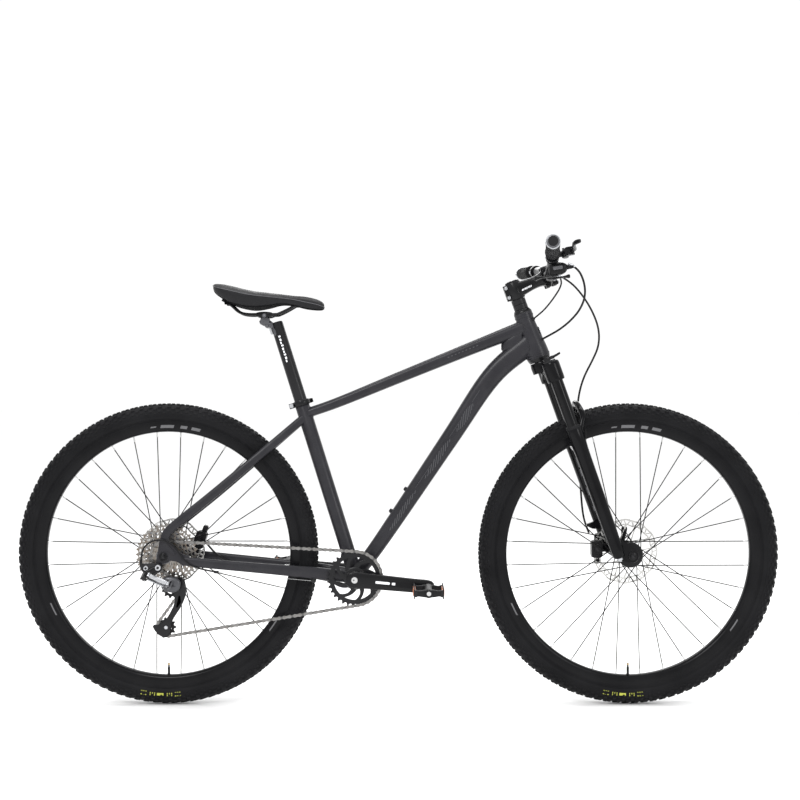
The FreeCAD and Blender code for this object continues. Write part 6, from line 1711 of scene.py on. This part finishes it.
def derailleur():
    near_out, near_in = pivot("derailleur_outer_link_pivot"), pivot("derailleur_inner_link_pivot")
    far_out = pivot("derailleur_carrier_pivot")
    pin = axis("derailleur_outer_link_pivot")
    run = far_out - near_out
    far_in = near_in + run
    cage_pivot = pivot("derailleur_cage_swing")
    hanger = pivot("derailleur_hanger_pivot")
    guide, tension = pivot("guide_pulley_spin"), pivot("tension_pulley_spin")
    ahead = run.normalized()

    def link(name, near, far, body):
        piece = Piece()
        for p in (near, far):
            piece.drum(4.1, -6, 6, place(p, ahead, pin), 32, edge=.5)
        across = pin.cross(ahead)
        web = [(near.lerp(far, t), across, pin, wide, 5.9, 3.4) for t, wide in
               ((0, 2.0), (.2, 2.3), (.5, 1.7), (.8, 2.3), (1, 2.0))]
        piece.sweep(smooth_stations(web, 4), 24)
        make(piece, name, M["silver"], body, "silver_aluminium", [body], smooth=45)

    link("derailleur_link_outer", near_out, far_out, "derailleur_outer_link")
    link("derailleur_link_inner", near_in, far_in, "derailleur_inner_link")
    for body, spots in (("derailleur_knuckle", (near_out, near_in)),
                        ("derailleur_carrier", (far_out, far_in))):
        pins = Piece()
        for p in spots:
            pins.drum(1.8, -10.7, 10.9, place(p, ahead, pin), 20, edge=.3)
        make(pins, body + "_pins", M["bright"], body, "bright_steel", smooth=35)

    def fork_ears(piece, a, b, away):
        """Ears above and below both links, joined behind them."""
        middle = (a + b) / 2
        across = (b - a).normalized()
        for z in (-8.4, 8.4):
            ear = []
            for t, wide in ((-1, 4.0), (-.55, 5.2), (0, 5.0), (.55, 5.2), (1, 4.0)):
                ear.append((middle + across * t * 10.4 + pin * z + ahead * away * .8, ahead, pin, wide, 1.9,
                            3.2))
            piece.sweep(smooth_stations(ear, 3), 20)
        root = []
        for z, wide in ((-10.2, 9.4), (-6, 10.4), (0, 10.6), (6, 10.4), (10.2, 9.4)):
            root.append((middle + ahead * away * 8.4 + pin * z, ahead, across, 3.0, wide, 3.2))
        piece.sweep(smooth_stations(root, 3), 24)
        return middle + ahead * away * 8.4

    knuckle = Piece()
    root = fork_ears(knuckle, near_in, near_out, -1)
    start = Vector((hanger.x, -76.2, hanger.z))
    knuckle.lathe([(0, 0), (8.2, 0), (9.2, 1), (9.6, 4), (9.6, 10), (8.8, 13), (6.8, 14.2), (0, 14.2)],
                  place(start, X, -Y), 48)
    arm = []
    for t, wide, tall in ((0, 8.6, 5.8), (.3, 8.2, 5.6), (.65, 7.0, 5.6), (1, 6.4, 6.6)):
        p = (start - Y * 7).lerp(root + pin * 2, t)
        direction = (root - start).normalized()
        side = direction.cross(Y).normalized()
        arm.append((p, side, side.cross(direction), wide, tall, 2.6))
    knuckle.sweep(smooth_stations(arm, 5), 32)
    face = [(-607, 350), (-590, 351), (-567, 351), (-559, 343), (-561, 331), (-571, 327), (-580, 314),
            (-594, 316), (-601, 328), (-609, 337)]
    knuckle.prism(rounded(face, 6), 3.5, 11.5, side_plate(Vector((0, start.y, 0))))
    knuckle.tube([Vector((-608, -86.2, 361)), Vector((-608, -86.2, 351)), Vector((-607, -86, 350)),
                  Vector((-605, -85.5, 338))], [3.1, 3.1, 4.6, 4.6], 20)
    make(knuckle, "derailleur_knuckle_body", M["anodised"], "derailleur_knuckle", "black_aluminium",
         ["derailleur_knuckle"], smooth=45)
    bolt = Piece()
    for at, head, face, lip, bore, sides in (
            (start - Y * 14.2, 6.6, 5.8, 3.6, 3.4, 40),
            (Vector((-596.5, start.y - 11.5, 339.5)), 5.6, 4.9, 3.0, 2.8, 32)):
        profile = [(0, 0), (head, 0), (head, 1.6), (face, 2.3), (lip, 2.3), (bore, .6), (0, .6)]
        # Each recess holds a black hexagon in the chainring black: painted shade in the bolt's hex socket.
        bolt.lathe(profile, place(at, X, -Y), sides).drum(3.4, 0, .9, place(at, X, -Y), 6, slot=1)
    make(bolt, "derailleur_hanger_bolt", [M["silver"], M["ring"]], "derailleur_knuckle", "silver_aluminium",
         smooth=35)

    carrier = Piece()
    root = fork_ears(carrier, far_in, far_out, 1)
    dome = Matrix.Rotation(math.radians(12), 3, "Y")
    middle = Vector((-541, cage_pivot.y, 299))
    carrier.sweep(smooth_stations([(middle - Y * out, dome @ X, dome @ Z, wide, tall, 2.4)
                                   for out, wide, tall in ((2.5, 19, 15), (4.5, 22.5, 18.5), (8, 23.5, 19),
                                                           (11.5, 21.5, 17), (14, 16, 12.5), (15.2, 9, 7))],
                                  4), 44)
    arm = [(root.lerp(cage_pivot + Vector((0, -7, 0)), t), pin.cross(Y).normalized(), Y, 7.4, 5.4, 2.6)
           for t in (0, .35, .7, 1)]
    carrier.sweep(smooth_stations(arm, 3), 28)
    make(carrier, "derailleur_carrier_body", M["grey"], "derailleur_carrier", "dark_grey_aluminium",
         ["derailleur_carrier"], smooth=50)

    cage = Piece()
    outline = rounded([(-553, 298), (-538, 310), (-521, 314), (-512, 303), (-507.7, 283.5), (-509, 269),
                       (-515, 253), (-523, 237), (-532.5, 223), (-540.5, 210), (-543.5, 196), (-545, 182),
                       (-548, 172), (-560, 169.5), (-573, 176), (-582, 187), (-588, 198), (-573, 200.5),
                       (-565, 206), (-555, 213), (-547.6, 224.3), (-537, 245), (-534, 256), (-535, 276),
                       (-547, 284)], 6, 4)
    slot = [(-518.5, 254), (-526, 242), (-529.5, 240), (-531, 243), (-528, 256), (-525.5, 268), (-522.5, 271),
            (-520, 268), (-518.4, 254.2)]
    cut = min(range(len(outline)), key=lambda i: math.dist(outline[i], (-514.6, 254)))
    outer = outline[:cut + 1] + slot + [(outline[cut][0] - .05, outline[cut][1] + .05)] + outline[cut + 1:]
    cage.prism(outer, -.9, .9, side_plate(Vector((0, CHAIN_Y - 5.4, 0))))
    cage.prism(outer, -.9, .9, side_plate(Vector((0, CHAIN_Y + 5.4, 0))))
    make(cage, "derailleur_cage_plates", M["ring"], "derailleur_cage", "black_aluminium", ["derailleur_cage"],
         bevel=.35, smooth=35)
    screws = Piece()
    for at in (guide, tension):
        screws.drum(4.3, -9.0, -6.2, place(at, X, Y), 28, edge=.6)
        screws.drum(2.1, -9.1, -8.9, place(at, X, Y), 6)
        screws.drum(3.6, 6.2, 8.2, place(at, X, Y), 24, edge=.5)
        screws.drum(2.4, -8, 7, place(at, X, Y), 20)
    make(screws, "derailleur_cage_screws", M["silver"], "derailleur_cage", "silver_aluminium", smooth=35)
    for at, name in ((guide, "guide_pulley"), (tension, "tension_pulley")):
        wheel = Piece()
        where = upright(at)
        sprocket_band(wheel, toothed(PULLEY_TEETH, 1.2, 3.9), 12.6, -1.05, 1.05, where)
        for k in range(5):
            a = TAU * k / 5
            arm = [[where @ Vector((r * math.cos(a) - s * 2.2 * math.sin(a),
                                    r * math.sin(a) + s * 2.2 * math.cos(a), h))
                    for s, h in ((-1, -1), (1, -1), (1, 1), (-1, 1))] for r in (5.4, 9, 13.4)]
            wheel.rings(arm)
        wheel.lathe([(2.9, -4.0), (6.4, -4.0), (7.0, -3.2), (7.0, 3.2), (6.4, 4.0), (2.9, 4.0)], where, 40)
        make(wheel, name + "_wheel", M["plastic"], name, "black_plastic", [name], smooth=35)


# ---------------------------------------------------------------- hoses and cables

def spline(points, per_run=6):
    """Points along the smooth spline that has the given ones as its control points."""
    curve = bpy.data.curves.new("route", "CURVE")
    curve.dimensions = "3D"
    curve.resolution_u = per_run
    line = curve.splines.new("NURBS")
    line.points.add(len(points) - 1)
    for point, at in zip(line.points, points):
        point.co = (*[v * MM for v in at], 1)
    line.order_u = 3
    line.use_endpoint_u = True
    obj = bpy.data.objects.new("route", curve)
    bpy.context.scene.collection.objects.link(obj)
    mesh = bpy.data.meshes.new_from_object(obj)
    route = [v.co / MM for v in mesh.vertices]
    bpy.data.objects.remove(obj)
    bpy.data.curves.remove(curve)
    bpy.data.meshes.remove(mesh)
    return route


FRONT_HOSE = [(412, 150, 1052), (436, 147, 1040), (466, 133, 1004), (490, 117, 960), (504, 103, 915),
              (502, 93, 872), (484, 88, 834), (464, 86, 797), (452, 86, 759), (447, 86, 719),
              (447, 87, 668), (449, 88, 613), (453, 88, 558), (456, 86, 503), (459, 83, 461),
              (464, 74, 430), (472, 60, 408)]
REAR_HOSE_AHEAD = [(398, -150, 1050), (416, -146, 1042), (432, -134, 1014), (438, -118, 982), (429, -98, 951),
                   (409, -73, 925), (385, -48, 905), (364, -25, 893), (344, -12, 882)]
REAR_HOSE_BEHIND = [(-118, 22, 283), (-150, 30, 290), (-205, 38, 299), (-270, 45, 310), (-330, 50, 318),
                    (-388, 54, 327), (-430, 57, 341), (-459, 57, 362), (-476, 56, 385)]
HOUSING_AHEAD = [(372, -142, 1026), (382, -124, 1016), (381, -100, 1001), (372, -76, 984), (361, -52, 967),
                 (349, -32, 952), (335, -21, 940), (324, -14, 931)]
HOUSING_BEHIND = [(-536, -82, 396), (-549, -84, 404), (-566, -85, 407), (-585, -86, 403), (-600, -87, 391),
                  (-607, -87, 374), (-608, -86, 357)]


def hoses():
    """The hoses and cable housings; those that cross a joint are baked in place and ride on no body."""
    def hose(name, points, radius, nodes, body=None, bodies=None):
        route = spline(points)
        obj = make(Piece().tube(route, radius, 20), name, M["hose"], body, "hose_cover", nodes, smooth=60)
        if bodies:
            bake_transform(obj)
        return obj

    hose("front_brake_line", FRONT_HOSE, 2.5, ["front_brake_hose"], bodies=("fork_lowers", "steering"))
    hose("rear_brake_line_ahead", REAR_HOSE_AHEAD, 2.5, ["rear_brake_hose"], bodies=("frame", "steering"))
    hose("rear_brake_line_behind", REAR_HOSE_BEHIND, 2.5, (), "frame")
    hose("shift_housing_ahead", HOUSING_AHEAD, 2.0, ["shift_cable"], bodies=("frame", "steering"))
    hose("shift_housing_behind", HOUSING_BEHIND, 2.0, (), "frame")

    ferrules = Piece()
    for route in (FRONT_HOSE, REAR_HOSE_AHEAD, HOUSING_AHEAD):
        a, b = Vector(route[0]), Vector(route[1])
        run = (b - a).normalized()
        ferrules.tube([a - run * 6, a - run * 5.4, a + run * 6, a + run * 6.6, a + run * 11],
                      [3.0, 4.0, 4.0, 3.0, 2.8], 20)
    make(ferrules, "hose_ferrules", M["silver"], "steering", "silver_aluminium", smooth=35)

    ends = Piece()
    for route, radius in ((REAR_HOSE_AHEAD, 2.5), (HOUSING_AHEAD, 2.0)):
        port, before = Vector(route[-1]), Vector(route[-2])
        run = (port - before).normalized()
        ends.tube([port - run * 7, port - run * 6.4, port - run * 1, port + run * 4],
                  [radius + .5, radius + 1.7, radius + 2.6, radius + 2.6], 24)
    wire_start, wire_end = Vector((-206, -47, 304)), Vector((-430, -64, 327))
    run = (wire_end - wire_start).normalized()
    for p, way in ((wire_start, 1), (wire_end, -1)):
        ends.tube([p - run * way * 9, p - run * way * 8, p + run * way * 2, p + run * way * 2.6],
                  [2.4, 3.4, 3.4, 2.6], 24)
    make(ends, "cable_ports_and_stops", M["anodised"], "frame", "black_aluminium", smooth=40)
    wire = Piece().tube([wire_start, wire_end], .6, 12)
    behind = [Vector((-430, -64, 327)), Vector((-460, -70, 333)), Vector((-492, -78, 344)),
              Vector((-514, -81, 366)),
              Vector((-526, -81.5, 386)), Vector((-536, -82, 396))]
    make(Piece().tube(spline(behind), 2.0, 20), "shift_housing_stay", M["hose"], "frame", "hose_cover",
         smooth=60)
    make(wire, "shift_wire", M["bright"], "frame", "bright_steel", smooth=60)
    rear = Piece()
    for i in (3, 5):
        a, b = Vector(REAR_HOSE_BEHIND[i]), Vector(REAR_HOSE_BEHIND[i + 1])
        rear.tube([a.lerp(b, .3), a.lerp(b, .55)], 3.8, 20)
    make(rear, "rear_hose_clips", M["plastic"], "frame", "black_plastic", smooth=40)
    guide = Piece()
    a = Vector((447, 86.4, 668))
    guide.tube([a + Z * 5, a - Z * 5], 3.9, 20)
    guide.block((12, 12, 8), place(a + Vector((-4, -7, 0)), X, Z))
    make(guide, "front_hose_guide", M["fork"], "fork_lowers", "fork_paint", smooth=40)


# ---------------------------------------------------------------- stage

def studio():
    """A pale floor, soft light, and a camera that looks at the bike's right side."""
    scene = bpy.context.scene
    world = bpy.data.worlds.new("studio")
    scene.world = world
    world.use_nodes = True
    background = world.node_tree.nodes["Background"]
    background.inputs["Color"].default_value = (1.0, 1.0, 1.0, 1)
    background.inputs["Strength"].default_value = 1.04

    floor_mesh = bpy.data.meshes.new("floor")
    reach = 90
    floor_mesh.from_pydata([(-reach, -reach, 0), (reach, -reach, 0), (reach, reach, 0), (-reach, reach, 0)],
                           [], [(0, 1, 2, 3)])
    floor = bpy.data.objects.new("floor", floor_mesh)
    scene.collection.objects.link(floor)
    paper, nodes, links, bsdf = shader("pale_floor", (0.97, 0.97, 0.97), 0.9)
    links.new(spread(nodes, links, noise(nodes, links, 3, 3), 0.72, 0.84), bsdf.inputs["Roughness"])
    floor_mesh.materials.append(paper)

    for name, at, aim, size, power in (
            ("key", (-1.4, -3.2, 3.2), (0, 0, .5), (1.6, 1.2), 75),
            ("fill", (2.8, -2.8, 1.9), (0, 0, .6), (1.2, 1.2), 26),
            ("top", (0, .1, 3.2), (0, 0, .4), (3.0, .8), 55),
            ("back", (.6, 3.0, 2.4), (0, 0, .5), (2.4, 1.2), 30)):
        light = bpy.data.lights.new(name, "AREA")
        light.shape = "RECTANGLE"
        light.size, light.size_y = size
        light.energy = power
        lamp = bpy.data.objects.new(name, light)
        lamp.location = at
        lamp.rotation_euler = (Vector(aim) - Vector(at)).to_track_quat("-Z", "Y").to_euler()
        scene.collection.objects.link(lamp)

    camera = bpy.data.cameras.new("photo_view")
    camera.lens = 57.4
    camera.sensor_width = 36
    viewer = bpy.data.objects.new("photo_view", camera)
    viewer.location = (.004, -3.1, .737)
    viewer.rotation_euler = (math.pi / 2, 0, 0)
    scene.collection.objects.link(viewer)
    scene.camera = viewer
    scene.view_settings.view_transform = "Standard"


def hidden_nodes():
    """CAD nodes that stay as they are get their real finish."""
    for node, material in (("crank_and_pedal_axles", "bright"),):
        obj = frame["nodes"][node]
        for slot_of in obj.material_slots:
            slot_of.material = M[material]


wheels()
cassette()
chain()
cranks()
pedals()
main_frame()
seat_collar()
seat()
fork()
brake_calipers()
stem()
handlebar()
bar_controls()
wheel_skewers()
derailleur()
hoses()
hidden_nodes()
studio()
